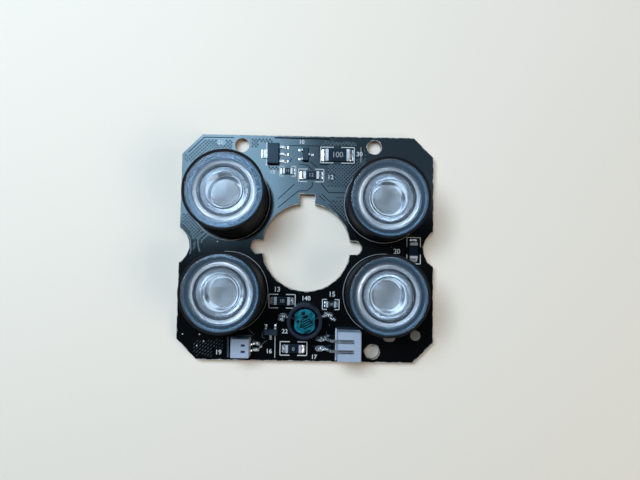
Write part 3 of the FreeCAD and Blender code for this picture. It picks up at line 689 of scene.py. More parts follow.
def lens_profile(settings):
    """Half section of the lens: pocket, foot, curved cone, flange, sloped face, groove and centre lens."""
    seat = LENS_TOP - settings.flange_thickness
    face = LENS_TOP - settings.face_recess
    bed = face - settings.groove_depth
    cone = settings.collimator_radius
    foot_radius = settings.pocket_radius + settings.foot_wall
    pocket_top = LENS_FOOT + settings.pocket_depth
    ceiling = parabola(settings.pocket_radius - POCKET_TAPER, pocket_top, pocket_top - settings.pocket_crown)
    foot_edge, seat_edge = np.array([foot_radius, LENS_FOOT]), np.array([cone, seat])
    control = (seat_edge + foot_edge) / 2 + CONE_BOW
    s = np.linspace(0, 1, 24)[1:-1, None]
    side = (1 - s) ** 2 * foot_edge + 2 * s * (1 - s) * control + s**2 * seat_edge
    corners = [
        (FLANGE_RADIUS, seat),
        (FLANGE_RADIUS, LENS_TOP),
        (cone + FACE_LAND, LENS_TOP),
        (cone, LENS_TOP),
        (settings.slope_foot, face),
        (settings.groove_outer, face),
        (settings.groove_outer - GROOVE_TAPER, bed),
        (settings.groove_inner, bed),
        (settings.groove_inner - GROOVE_TAPER, face),
        (settings.centre_radius, face),
    ]
    corner_radii = [settings.edge_round] * len(corners)
    corner_radii[:3] = settings.seat_round, settings.flange_round, 0.0
    crown = parabola(settings.centre_radius, face, face + settings.centre_crown)[-2::-1]
    parts = [
        (ceiling, 0.0),
        ([(settings.pocket_radius, LENS_FOOT), (foot_radius, LENS_FOOT)], settings.edge_round),
        (side, 0.0),
        ([(cone, seat)], settings.edge_round),
        (corners, corner_radii),
        (crown, 0.0),
    ]
    profile = np.concatenate([np.asarray(points, float) for points, _ in parts])
    radii = np.concatenate([np.full(len(points), radius) for points, radius in parts])
    eased = rounded(profile, radii)[CORNER_STEPS:-CORNER_STEPS]
    eased = np.concatenate([profile[:1], eased, profile[-1:]])
    eased[:, 0] = np.maximum(eased[:, 0], 0.0)
    return eased


def lens_zones(settings):
    """Bands of the lens with a look of their own: the frosted pocket, slope and foot, the groove's bed with
    its painted shade, and the groove's steep sides with the land outside it, which carry a painted dark ring.
    Their margins decide which points of the rounded corners belong to them."""
    face = LENS_TOP - settings.face_recess
    bed = face - settings.groove_depth
    pocket = settings.pocket_radius
    outer, inner = settings.groove_outer, settings.groove_inner
    return {
        "frosted": [
            (-1.0, pocket + 0.01, LENS_FOOT - 0.01, LENS_FOOT + settings.pocket_depth + 0.1),
            (settings.slope_foot - 0.1, settings.collimator_radius + 0.1, face - 0.05, face + 1.0),
            (pocket - 0.1, pocket + settings.foot_wall + 0.1, LENS_FOOT - 0.01, LENS_FOOT + 0.3),
        ],
        "groove": [(inner, outer - 0.1, bed - 0.1, face - 0.05)],
        "step": [
            (outer - 0.14, outer + 0.01, bed - 0.01, face + 0.01),
            (inner - 0.14, inner + 0.01, bed - 0.01, face + 0.01),
            (outer, settings.slope_foot - 0.03, face - 0.01, face + 0.04),
        ],
    }


def holder_profile(settings):
    """Half section of the holder: floor with a window, straight wall, ledge and rim."""
    seat = LENS_TOP - settings.flange_thickness
    bore = settings.collimator_radius + LEDGE_GAP
    inner = HOLDER_RADIUS - HOLDER_WALL
    rim = HOLDER_RADIUS - RIM_WALL
    ledge_foot = seat - LEDGE_HEIGHT
    floor = HOLDER_BOTTOM + HOLDER_FLOOR
    corners = [
        (HOLDER_WINDOW, HOLDER_BOTTOM),
        (HOLDER_RADIUS, HOLDER_BOTTOM),
        (HOLDER_RADIUS, HOLDER_TOP),
        (rim, HOLDER_TOP),
        (rim, seat),
        (bore, seat),
        (bore, ledge_foot),
        (inner, ledge_foot - (inner - bore)),
        (inner, floor),
        (HOLDER_WINDOW, floor),
    ]
    radii = [0.0, 0.05, 0.16, 0.06, 0.0, 0.05, 0.05, 0.0, 0.0, 0.0]
    return rounded(corners, radii)


def holder_zones(settings):
    """Bands of the holder that carry painted light: the ledge, painted blue as the reflection seen in the
    flange, and the inner wall below it, painted light grey as light seen through the lens.
    """
    seat = LENS_TOP - settings.flange_thickness
    edge = HOLDER_RADIUS - 0.4
    return {
        "ledge": [(0.0, edge, seat - 0.08, seat + 0.02)],
        "inside": [(0.0, edge - 0.3, HOLDER_BOTTOM + 0.5, seat - 0.08)],
    }


# Outline of the board: its cut corners, the camera opening with its keyway and ears, the notches in
# its short sides and its screw holes.
CORNER_CUT = 4.2
CAMERA_RADIUS = 9.2
KEYWAY_HALF = 1.65
KEYWAY_TOP = 11.2
KEYWAY_CORNER = 0.3
EAR_HALF = 1.4
EAR_CENTRE = 10.15
NOTCH_RADIUS = 4.2
NOTCH_CENTRE = 28.65
SCREW_RADIUS = 1.5
SCREW_PLACES = ((-13.95, 21.35), (13.95, 21.35), (13.95, -21.35))


def board_outlines():
    """Edges of the board in plan, with the board on the left of the way that each runs: the outside
    with its notches, the camera opening with its keyway and ears, and the screw holes."""
    w, h, cut = HALF_WIDTH, HALF_HEIGHT, CORNER_CUT
    notch = math.degrees(math.acos((NOTCH_CENTRE - w) / NOTCH_RADIUS))
    outside = [
        [(cut - w, -h), (w - cut, -h), (w, cut - h)],
        arc((NOTCH_CENTRE, 0.0), NOTCH_RADIUS, 180 + notch, 180 - notch),
        [(w, h - cut), (w - cut, h), (cut - w, h), (-w, h - cut)],
        arc((-NOTCH_CENTRE, 0.0), NOTCH_RADIUS, notch, -notch),
        [(-w, cut - h)],
    ]
    key = math.degrees(math.acos(KEYWAY_HALF / CAMERA_RADIUS))
    ear = math.degrees(math.asin(EAR_HALF / CAMERA_RADIUS))
    corner_x = KEYWAY_HALF - KEYWAY_CORNER
    corner_y = KEYWAY_TOP - KEYWAY_CORNER
    opening = [
        arc((0.0, 0.0), CAMERA_RADIUS, key, ear),
        arc((EAR_CENTRE, 0.0), EAR_HALF, 90, -90, 12),
        arc((0.0, 0.0), CAMERA_RADIUS, -ear, ear - 180, 48),
        arc((-EAR_CENTRE, 0.0), EAR_HALF, -90, -270, 12),
        arc((0.0, 0.0), CAMERA_RADIUS, 180 - ear, 180 - key),
        arc((-corner_x, corner_y), KEYWAY_CORNER, 180, 90, 4),
        arc((corner_x, corner_y), KEYWAY_CORNER, 90, 0, 4),
    ]
    holes = [arc(place, SCREW_RADIUS, 360, 0, 37)[:-1] for place in SCREW_PLACES]
    return [np.concatenate(outside), np.concatenate(opening), *holes]


def paced(loop, pace):
    """A closed path with points added evenly along its length, none nearer to the last than 0.03 mm,
    and the length at each point."""
    ring = np.concatenate([loop, loop[:1]])
    length = np.concatenate([[0.0], np.cumsum(np.linalg.norm(np.diff(ring, axis=0), axis=1))])
    s = np.union1d(length[:-1], np.arange(0, length[-1] - pace / 2, pace))
    s = s[np.concatenate([[True], np.diff(s) > 0.03])]
    return np.stack([np.interp(s, length, ring[:, 0]), np.interp(s, length, ring[:, 1])], axis=1), s


WEAR_PACE = 0.35
WEAR_LIFT = 0.004


def worn_edge(loop, width):
    """Chipped lacquer along an edge: a strip whose width is the usual one times
    0.5 + 0.35 sin 1.7s + 0.3 sin 3.9s + 0.25 sin 9.1s at the length s, and never less than a tenth. It
    goes down the cut edge by six tenths of its width."""
    path, s = paced(loop, WEAR_PACE)
    wear = 0.5 + 0.35 * np.sin(1.7 * s) + 0.3 * np.sin(3.9 * s + 1.0) + 0.25 * np.sin(9.1 * s + 2.0)
    wear = width * np.clip(wear, 0.1, 1.3)
    across = mitres(path, closed=True)
    outer = path - across * WEAR_LIFT
    inner = path + across * wear[:, None]
    top = BOARD_TOP + WEAR_LIFT
    return carried(
        stacked_section((outer, BOARD_TOP - wear * 0.6), (outer, top), (inner, top), (inner, LAID_LEVEL)),
        closed=True,
    )


# Convex areas of hatched copper and, below, of copper with dashed lines.
HATCHED = (
    ((-25.8, 17.6), (-25.8, 18.9), (-21.7, 22.5), (-16.1, 22.5), (-16.1, 17.6)),
    ((-11.8, 20.9), (-10.3, 20.9), (-10.3, 22.6), (-11.8, 22.6)),
    ((-10.3, 22.0), (-7.6, 22.0), (-7.6, 22.6), (-10.3, 22.6)),
    ((-8.4, 16.1), (-6.0, 16.1), (-6.0, 16.8), (-8.4, 16.8)),
    ((3.1, 21.5), (10.4, 21.5), (10.4, 22.5), (3.1, 22.5)),
    ((4.1, 12.9), (12.4, 12.9), (12.4, 20.9), (10.9, 20.9), (4.1, 17.4)),
    ((4.6, 4.8), (9.2, 4.8), (9.2, 9.8), (4.6, 9.8)),
    ((-26.1, 6.7), (-24.9, 6.7), (-21.5, 3.1), (-22.5, 1.6), (-23.8, 0.9), (-25.2, 2.5), (-26.1, 3.8)),
    ((-23.8, 0.9), (-22.9, 0.9), (-22.9, -0.6), (-23.7, -1.2)),
)
DASHED = (
    ((-23.2, -21.4), (-22.8, -19.6), (-16.7, -19.1), (-16.6, -21.4)),
    ((-22.3, -23.0), (-23.2, -21.4), (-19.0, -21.4), (-19.0, -23.0)),
)
HATCH_REACH = 40.0
CROSSING_DROP = 0.004
WINDOW_RISE = 0.006
GAP_RISE = 0.005
# A dashed line: its step in pitches, the share of a step that is drawn, and its width in hatch lines.
DASH_STEP = 1.1
DASH_SHARE = 0.62
DASH_WIDTH = 0.7
# What hatched copper keeps clear of: rounds by middle and radius, blocks by two corners.
KEEP_CLEAR_ROUNDS = (
    (-16.1, 9.45, 8.1),
    (16.1, 9.45, 8.1),
    (-16.1, -9.45, 8.1),
    (16.1, -9.45, 8.1),
    (0.0, 0.0, 9.7),
    (-13.95, 21.35, 2.0),
    (13.95, 21.35, 2.0),
    (-28.65, 0.0, 4.9),
    (28.65, 0.0, 4.9),
)
KEEP_CLEAR_BLOCKS = (
    (2.4, 17.7, 10.0, 21.4),
    (3.9, 14.2, 5.7, 15.5),
    (10.0, 19.1, 11.9, 20.5),
    (-1.5, 13.6, 3.6, 16.6),
    (-19.4, 21.2, -17.5, 22.4),
)
# Width and path of each gap between areas of copper, and of each track.
GAPS = (
    (0.17, (-15.7, 22.92), (-21.95, 22.88), (-25.25, 19.6)),
    (0.3, (-7.1, 23.05), (4.6, 22.95)),
    (0.15, (-4.1, 21.4), (2.36, 21.45), (2.4, 18.1)),
    (0.14, (-1.9, 17.5), (-0.1, 17.3), (1.15, 16.2)),
    (0.14, (0.5, 18.1), (1.95, 16.9)),
    (0.16, (-6.15, 9.95), (-2.7, 13.3)),
    (0.16, (-6.1, 8.2), (-1.9, 11.8), (0.0, 11.9), (1.0, 12.85), (1.03, 13.7)),
    (0.16, (2.98, 13.8), (3.0, 13.3), (4.4, 11.6), (8.1, 11.6)),
    (0.12, (6.0, 10.5), (8.1, 10.5)),
    (0.14, (2.4, 10.95), (3.7, 9.75)),
    (0.14, (3.0, 11.3), (4.5, 9.9)),
    (0.16, (-3.85, 17.9), (-3.4, 18.7)),
    (0.2, (9.6, 17.9), (9.6, 17.5), (2.5, 17.5)),
)
TRACKS = (
    (0.32, (-21.2, 2.75), (-22.62, 1.33), (-22.58, 0.0), (-22.2, -1.3)),
    (0.28, (-20.5, 2.3), (-21.87, 1.07), (-21.85, 0.5)),
    (0.28, (-25.2, 2.62), (-24.25, 1.35), (-24.05, -0.9), (-24.25, -1.8)),
    (0.34, (-15.82, -18.75), (-15.7, -22.95)),
    (0.16, (-11.6, -17.15), (-10.4, -18.3)),
    (0.12, (-11.17, -19.1), (-11.14, -20.0)),
    (0.12, (-10.3, -19.1), (-10.75, -20.0)),
    (0.14, (-8.74, -17.6), (-8.71, -18.8), (-8.3, -18.86)),
    (0.14, (-7.8, -19.4), (-8.55, -20.0), (-9.2, -20.75)),
    (0.14, (5.08, -15.8), (5.08, -16.25)),
    (0.14, (4.51, -17.3), (4.51, -18.0)),
)


def inside_convex(points, corners):
    """True where a point is on the same side of every edge of a convex outline."""
    corners = np.asarray(corners)
    edges = np.roll(corners, -1, axis=0) - corners
    offset = points[:, None, :] - corners[None]
    side = edges[None, :, 0] * offset[..., 1] - edges[None, :, 1] * offset[..., 0]
    return np.all(side >= 0, axis=1) | np.all(side <= 0, axis=1)


def inside_any(points, areas):
    """True where a point is in one of some convex areas."""
    inside = np.zeros(len(points), bool)
    for corners in areas:
        inside |= inside_convex(points, corners)
    return inside


def clear_of_parts(points):
    """True where a point is off the round and square places that copper keeps clear of."""
    free = np.ones(len(points), bool)
    for x, y, radius in KEEP_CLEAR_ROUNDS:
        free &= np.hypot(points[:, 0] - x, points[:, 1] - y) > radius
    for x0, y0, x1, y1 in KEEP_CLEAR_BLOCKS:
        inside = (points[:, 0] > x0) & (points[:, 0] < x1) & (points[:, 1] > y0) & (points[:, 1] < y1)
        free &= ~inside
    return free


def hatch_lines(slope, pitch, areas, dash=1.0):
    """Short pieces of the diagonals y = slope x + c, with c stepped by pitch times the root of two, kept
    where both ends lie in a hatched area and off the parts. A dash under one leaves gaps in the line."""
    step = pitch / 2 if dash == 1.0 else pitch * DASH_STEP
    offsets = np.arange(-2 * HATCH_REACH, 2 * HATCH_REACH, pitch * math.sqrt(2))
    runs = np.arange(-HATCH_REACH, HATCH_REACH, step)
    c, x = np.meshgrid(offsets, runs, indexing="ij")
    end = x + step * dash
    starts = np.stack([x, slope * x + c], axis=-1).reshape(-1, 2)
    ends = np.stack([end, slope * end + c], axis=-1).reshape(-1, 2)
    keep = inside_any(starts, areas) & inside_any(ends, areas)
    keep &= clear_of_parts(starts) & clear_of_parts(ends)
    return starts[keep], ends[keep]


def hatch_windows(pitch, line):
    """The squares between the hatch lines, turned by 45 degrees: their middles are half a step from the
    crossings of y = x + c and y = -x + d, and their side is the pitch less a line."""
    step = pitch * math.sqrt(2)
    offsets = np.arange(-2 * HATCH_REACH, 2 * HATCH_REACH, step) + step / 2
    c, d = np.meshgrid(offsets, offsets, indexing="ij")
    middles = np.stack([(d - c) / 2, (d + c) / 2], axis=-1).reshape(-1, 2)
    middles = middles[np.all(np.abs(middles) < HALF_WIDTH + 0.5, axis=1)]
    keep = inside_any(middles, HATCHED) & clear_of_parts(middles)
    half = np.array([1.0, 1.0]) / math.sqrt(2) * (pitch - line) / 2
    return middles[keep] - half, middles[keep] + half


class ILLUMINATOR_OT_board(bpy.types.Operator):
    """Finishes the board, its copper and its worn edges"""

    bl_idname = "illuminator.board"
    bl_label = "Board and copper"

    def execute(self, context):
        settings = context.scene.illuminator_board
        sheen = settings.sheen_colour
        finish_node("circuit_board", board_finish(settings))
        over_copper = new_finish(
            "lacquer_over_copper",
            shades(settings.copper_colour, 1.0, 1.7),
            (0.16, 0.24),
            relief=0.0006,
            sheen=sheen,
            IOR=LACQUER_IOR,
        )
        gap = shades(settings.gap_colour, 1.0, 1.6)
        sunk = new_finish("sunk_lacquer", gap, (0.5, 0.62), relief=0.001, Specular_IOR_Level=0.06)
        glossy = new_finish(
            "window_lacquer", gap, (0.22, 0.32), relief=0.001, sheen=sheen, Specular_IOR_Level=0.27
        )
        bare = new_finish(
            "bare_fibre", shades(settings.worn_colour, 0.3, 1.0), (0.6, 0.75), drift=700.0, relief=0.003
        )
        pitch, line = settings.hatch_pitch, settings.hatch_line
        top = BOARD_TOP + settings.copper_rise
        hatch = [
            bars(*hatch_lines(1.0, pitch, HATCHED), line, LAID_LEVEL, top),
            bars(*hatch_lines(-1.0, pitch, HATCHED), line, LAID_LEVEL, top - CROSSING_DROP),
            bars(*hatch_lines(1.0, pitch, DASHED, DASH_SHARE), line * DASH_WIDTH, LAID_LEVEL, top),
        ]
        show_piece("copper_hatch", make_mesh("copper_hatch", *joined(hatch)), over_copper)
        tracks = [ribbon(path, width, LAID_LEVEL, top) for width, *path in TRACKS]
        show_closed("copper_tracks", tracks, over_copper)
        windows = bars(*hatch_windows(pitch, line), pitch - line, LAID_LEVEL, BOARD_TOP + WINDOW_RISE)
        show_piece("hatch_windows", make_mesh("hatch_windows", *windows), glossy)
        gaps = [ribbon(path, width, LAID_LEVEL, BOARD_TOP + GAP_RISE) for width, *path in GAPS]
        show_closed("copper_gaps", gaps, sunk)
        worn = [worn_edge(loop, settings.wear_width) for loop in board_outlines()]
        show_closed("worn_edges", worn, bare)
        return {"FINISHED"}


# Printed frames: middle, width, height and turn. Lines: start, end and width. Numbers: middle and
# height; those on a resistor's body have its name.
RESISTOR_FRAMES = (
    (6.2, 19.55, 7.12, 3.33, 0.0),
    (0.73, 15.13, 5.3, 2.67, 0.0),
    (-4.2, 15.95, 3.35, 2.1, 0.0),
    (-4.82, -11.29, 5.45, 2.79, 0.0),
    (5.29, -11.8, 3.45, 2.06, 0.0),
    (-2.25, -20.95, 5.52, 2.76, 0.0),
    (22.4, -0.34, 5.48, 2.81, 90.0),
)
FRAME_GAP = 1.6
FRAME_LINE = 0.17
PRINTED_LINES = (
    (6.47, -16.7, 6.47, -23.2, 0.3),
    (-6.1, -17.6, -6.05, -22.9, 0.12),
    (-8.75, 17.0, -8.75, 21.9, 0.22),
    (11.15, 18.1, 11.15, 21.3, 0.08),
)
PRINTED_NUMBERS = (
    ("10", -1.4, 22.2, 0.85),
    ("30", 10.85, 19.8, 0.95),
    ("12", 4.8, 14.8, 0.95),
    ("13", -5.9, -8.9, 1.0),
    ("140", 0.14, -10.65, 0.9),
    ("15", 5.5, -9.7, 1.0),
    ("16", -7.3, -21.6, 0.9),
    ("17", 2.0, -22.6, 0.85),
    ("18", -7.4, 15.7, 0.85),
    ("19", -17.7, -22.0, 0.95),
    ("20", 18.9, -0.6, 1.0),
    ("21", -18.5, 21.8, 0.8),
    ("22", -4.1, -17.5, 0.9),
)
PRINTED_DOTS = ((-25.2, -18.36), (-21.7, -18.36), (-18.56, 0.87), (-20.8, -19.75), (-22.2, -20.7))
DOT_RADIUS = 0.13
BODY_NUMBERS = (
    ("sense", "100", 1.15),
    ("bias", "12", 0.75),
    ("trim", "11", 0.6),
    ("gate", "10", 0.7),
    ("feed", "0", 0.75),
    ("cell", "10", 0.55),
)
BODY_SINK = 0.005
BODY_INK_RISE = 0.012
LETTER_SIZE = 1.4
STROKE_SPREAD = 0.02


def frame_lines(x, y, width, height, turn):
    """The two open brackets printed round a resistor: a long side in two pieces, top and bottom, and
    the two short sides."""
    w = width / 2
    h = height / 2
    g = FRAME_GAP / 2
    starts = np.array([(-w, h), (g, h), (-w, -h), (g, -h), (-w, -h), (w, -h)])
    ends = np.array([(-g, h), (w, h), (-g, -h), (w, -h), (-w, h), (w, h)])
    return turned_plan(starts, turn, (x, y)), turned_plan(ends, turn, (x, y))


def printed_number(text, x, y, height, level, rise):
    """A number as points and faces, standing on a level."""
    curve = bpy.data.curves.new("number", "FONT")
    curve.body = text
    curve.size = height * LETTER_SIZE * MM
    curve.extrude = rise * MM / 2
    curve.offset = STROKE_SPREAD * MM
    curve.align_x = "CENTER"
    curve.align_y = "CENTER"
    holder = bpy.data.objects.new("number", curve)
    mesh = bpy.data.meshes.new_from_object(holder)
    points = mesh_points(mesh) + (x, y, level + rise / 2)
    faces = [list(polygon.vertices) for polygon in mesh.polygons]
    bpy.data.objects.remove(holder)
    bpy.data.curves.remove(curve)
    bpy.data.meshes.remove(mesh)
    return points, faces


class ILLUMINATOR_OT_printing(bpy.types.Operator):
    """Prints the rings, frames, lines and plain numbers"""

    bl_idname = "illuminator.printing"
    bl_label = "Printing"

    def execute(self, context):
        settings = context.scene.illuminator_board
        ink = new_finish("printed_ink", shades(settings.ink_colour, 0.7, 1.0), (0.45, 0.6), grain=5000.0)
        thin_ink = new_finish("thin_ink", shades(settings.ring_colour, 0.4, 1.0), (0.4, 0.55), drift=500.0)
        top = BOARD_TOP + settings.ink_rise
        inner = settings.ring_radius - settings.ring_width / 2
        outer = settings.ring_radius + settings.ring_width / 2
        section = np.array([(inner, LAID_LEVEL), (outer, LAID_LEVEL), (outer, top), (inner, top)])
        rings = [turned(section, unit_centre(unit), steps=160) for unit in UNITS]
        show_closed("printed_rings", rings, thin_ink)
        dot = np.array([(0.0, LAID_LEVEL), (DOT_RADIUS, LAID_LEVEL), (DOT_RADIUS, top), (0.0, top)])
        lines = [bars(*frame_lines(*place), FRAME_LINE, LAID_LEVEL, top) for place in RESISTOR_FRAMES]
        for x0, y0, x1, y1, width in PRINTED_LINES:
            lines.append(bars([(x0, y0)], [(x1, y1)], width, LAID_LEVEL, top))
        lines.extend(turned(dot, place, steps=12) for place in PRINTED_DOTS)
        show_closed("printed_lines", lines, ink)
        numbers = [printed_number(*number, BOARD_TOP, settings.ink_rise) for number in PRINTED_NUMBERS]
        show_closed("printed_numbers", numbers, ink)
        marks = []
        for part, number, height in BODY_NUMBERS:
            body = part + "_resistor_body"
            level = node_box(body)[1][2] - BODY_SINK
            marks.append(printed_number(number, *plan_middle(body), height, level, BODY_INK_RISE))
        show_closed("body_numbers", marks, thin_ink)
        return {"FINISHED"}


class ILLUMINATOR_OT_holders(bpy.types.Operator):
    """Turns the four moulded lens holders"""

    bl_idname = "illuminator.holders"
    bl_label = "Lens holders"

    def execute(self, context):
        settings = context.scene.illuminator_lens
        material = new_finish(
            "holder_moulding",
            shades(settings.holder_colour, 1.0, 1.8),
            (0.46, 0.58),
            grain=5000.0,
            relief=0.0015,
            dust=0.04,
            Specular_IOR_Level=0.04,
        )
        tree = material.node_tree
        wall = tree.nodes["Principled BSDF"].inputs["Base Color"]
        # Painted light: the inner wall below the ledge is painted light grey, standing for light seen through
        # the lens.
        overlay(tree, zone_mask(tree, "inside"), wall, settings.inside_painted_light_colour)
        # Painted reflection: the ledge is painted blue, standing for the blue light seen in the flange.
        overlay(tree, zone_mask(tree, "ledge"), wall, settings.ledge_reflection_colour)
        profile, zones = holder_profile(settings), holder_zones(settings)
        show_units("holder_", profile, zones, material, "lens_holder_", settings)
        return {"FINISHED"}


class ILLUMINATOR_OT_lenses(bpy.types.Operator):
    """Turns the four collimator lenses"""

    bl_idname = "illuminator.lenses"
    bl_label = "Collimator lenses"

    def execute(self, context):
        settings = context.scene.illuminator_lens
        material = clear_finish("moulded_lens", settings.lens_colour, (0.03, 0.08), LENS_IOR, settings)
        profile, zones = lens_profile(settings), lens_zones(settings)
        show_units("collimator_", profile, zones, material, "lens_", settings, sharp=50.0)
        return {"FINISHED"}


class ILLUMINATOR_OT_emitters(bpy.types.Operator):
    """Finishes the emitters under the lenses"""

    bl_idname = "illuminator.emitters"
    bl_label = "Emitters"

    def execute(self, context):
        settings = context.scene.illuminator_parts
        ceramic = shades(settings.ceramic_colour, 0.92, 1.0)
        base = new_finish("white_ceramic", ceramic, (0.4, 0.55), relief=0.001)
        die = new_finish("bare_die", DIE_SHADES, (0.2, 0.3), relief=0.0005)
        lens_settings = context.scene.illuminator_lens
        resin = clear_finish("clear_resin", RESIN_COLOUR, (0.02, 0.06), RESIN_IOR, lens_settings)
        tabs = tin_finish(settings)
        for unit in UNITS:
            finish_node("emitter_base_" + unit, base)
            finish_node("emitter_dies_" + unit, die)
            finish_node("emitter_dome_" + unit, resin)
            finish_node("emitter_tabs_" + unit, tabs)
        return {"FINISHED"}


class ILLUMINATOR_OT_packages(bpy.types.Operator):
    """Finishes the regulator and the transistors"""

    bl_idname = "illuminator.packages"
    bl_label = "Packages"

    def execute(self, context):
        settings = context.scene.illuminator_parts
        body = new_finish(
            "black_epoxy",
            shades(settings.package_colour, 1.0, 1.6),
            (0.42, 0.55),
            grain=7000.0,
            relief=0.004,
            sheen=EPOXY_SHEEN,
            Specular_IOR_Level=0.25,
        )
        leads = tin_finish(settings)
        for part in ("regulator", "driver_transistor", "switch_transistor"):
            finish_node(part + "_body", body)
            finish_node(part + "_leads", leads)
        return {"FINISHED"}


class ILLUMINATOR_OT_resistors(bpy.types.Operator):
    """Finishes the chip resistors"""

    bl_idname = "illuminator.resistors"
    bl_label = "Chip resistors"

    def execute(self, context):
        settings = context.scene.illuminator_parts
        body = new_finish(
            "resistor_glaze",
            shades(settings.glaze_colour, 1.0, 1.7),
            (0.26, 0.38),
            grain=5000.0,
            sheen=GLAZE_SHEEN,
            Specular_IOR_Level=0.14,
        )
        caps = tin_finish(settings, "plated_cap", relief=0.006)
        for part in RESISTORS:
            finish_node(part + "_resistor_body", body)
            finish_node(part + "_resistor_caps", caps)
        return {"FINISHED"}


# The sensor's track: its turn, the level of its first stroke, where the strokes end, and the spots of
# lacquer on it by middle, length, width and turn.
SENSOR_TURN = 27.0
TRACK_FIRST = 0.95
TRACK_TURNS = (-0.4, 0.8, -0.4, 0.85, -0.95, 1.0, -0.8)
SENSOR_SPOTS = (
    (0.05, 0.95, 1.1, 0.5, 25.0),
    (-0.3, 1.6, 0.8, 0.7, 0.0),
    (1.3, 0.0, 0.55, 0.5, 0.0),
    (-1.3, 0.0, 0.6, 0.6, 0.0),
    (0.6, -2.0, 1.7, 0.35, 27.0),
)
TRACK_SINK = 0.01
TRACK_RISE = 0.015
SPOT_RISE = 0.03


def track_path(centre, pitch):
    """The sensor's track: parallel strokes a pitch apart, joined at alternate ends by half circles of
    half the pitch, turned in plan."""
    rows = []
    for k in range(len(TRACK_TURNS) - 1):
        level = TRACK_FIRST - k * pitch
        start, end = TRACK_TURNS[k], TRACK_TURNS[k + 1]
        rows.append([(start, level), (end, level)])
        if k < len(TRACK_TURNS) - 2:
            to_right = end > start
            rows.append(arc((end, level - pitch / 2), pitch / 2, 90, -90 if to_right else 270, 9)[1:-1])
    return turned_plan(np.concatenate([np.asarray(row, float) for row in rows]), SENSOR_TURN, centre)


def drop(centre, length, width, turn, low, foot, rise, lumps=0.0, phase=0.0, lean=0.0):
    """A drop on a pad: its plan is |x/a|^2.6 + |y/b|^2.6 = 1, and its height over the foot falls from the
    middle as (1 - p^2)^0.6 at the share p of the way out, with lumps of sin(3a + phase) round it and a
    slope of lean (x - y) (1 - p^2) over it."""
    angle = np.linspace(0, 2 * math.pi, 33)[:-1]
    reach = (np.abs(np.cos(angle)) ** 2.6 + np.abs(np.sin(angle)) ** 2.6) ** (-1 / 2.6)
    inwards = np.linspace(1, 0, 11)
    share = np.concatenate([[0.0, 1.0], inwards])[:, None]
    level = np.concatenate([[low, low], foot + rise * (1 - inwards**2) ** 0.6])[:, None]
    x = share * reach * np.cos(angle) * length / 2
    y = share * reach * np.sin(angle) * width / 2
    swell = lumps * np.sin(3 * angle + phase) * (share * (1 - share)) * 4
    z = level + swell + lean * (x - y) * (1 - share**2)
    plan = turned_plan(np.stack([x, y], axis=-1), turn, centre)
    points = np.concatenate([plan, z[..., None]], axis=-1)
    return points.reshape(-1, 3), grid_faces(len(share), len(angle), wrap_columns=True)


class ILLUMINATOR_OT_sensor(bpy.types.Operator):
    """Finishes the light sensor and its sleeve, and lays the sensor's track"""

    bl_idname = "illuminator.sensor"
    bl_label = "Light sensor"

    def execute(self, context):
        settings = context.scene.illuminator_parts
        rubber = new_finish(
            "sleeve_rubber",
            shades(settings.sleeve_colour, 0.7, 1.6),
            (0.42, 0.6),
            drift=900.0,
            grain=3500.0,
            relief=0.006,
            Specular_IOR_Level=0.12,
        )
        radius, low, high = round_box("sensor_sleeve")
        bore = radius - settings.sleeve_wall
        wall = rounded([(bore, low), (radius, low), (radius, high), (bore, high)], [0.0, 0.1, 0.22, 0.3])
        tube = turned(wall, plan_middle("sensor_sleeve"), steps=96)
        show_closed("sleeve_tube", [tube], rubber, ["sensor_sleeve"])
        lacquer = new_finish(
            "cell_lacquer",
            shades(settings.cell_colour, 0.12, 2.2),
            (0.25, 0.4),
            drift=900.0,
            Coat_Weight=0.4,
            Coat_Roughness=0.1,
            Specular_IOR_Level=0.1,
        )
        finish_node("sensor_disc", lacquer)
        finish_node("sensor_wires", tin_finish(settings))
        dark = shades(settings.track_colour, 1.0, 2.0)
        track = new_finish("track_lacquer", dark, (0.3, 0.4), relief=0.001, Specular_IOR_Level=0.08)
        centre = plan_middle("sensor_disc")
        face = float(node_box("sensor_disc")[1][2])
        low = face - TRACK_SINK
        path = track_path(centre, settings.track_pitch)
        shapes = [ribbon(path, settings.track_width, low, face + TRACK_RISE)]
        for x, y, length, width, turn in SENSOR_SPOTS:
            shapes.append(drop(centre + (x, y), length, width, turn, low, face, SPOT_RISE))
        show_closed("sensor_track", shapes, track)
        return {"FINISHED"}


class ILLUMINATOR_OT_connectors(bpy.types.Operator):
    """Finishes the two side-entry connectors"""

    bl_idname = "illuminator.connectors"
    bl_label = "Connectors"

    def execute(self, context):
        settings = context.scene.illuminator_parts
        # Painted light: the white nylon housings take a dim blue-grey that stands for cool window light and
        # shade.
        body = new_finish(
            "housing_nylon",
            shades(settings.housing_cool_shade_colour, 0.94, 1.05),
            (0.38, 0.5),
            grain=4000.0,
            Subsurface_Weight=0.15,
            Subsurface_Scale=0.0006,
        )
        pins = new_finish(
            "pin_tin",
            shades(settings.tin_colour, 1.3, 1.7),
            (0.14, 0.28),
            drift=900.0,
            grain=2500.0,
            relief=0.02,
            metal=(0.8, 1.0),
        )
        for part in ("power", "filter"):
            finish_node(part + "_housing", body)
            finish_node(part + "_pins", pins)
        return {"FINISHED"}


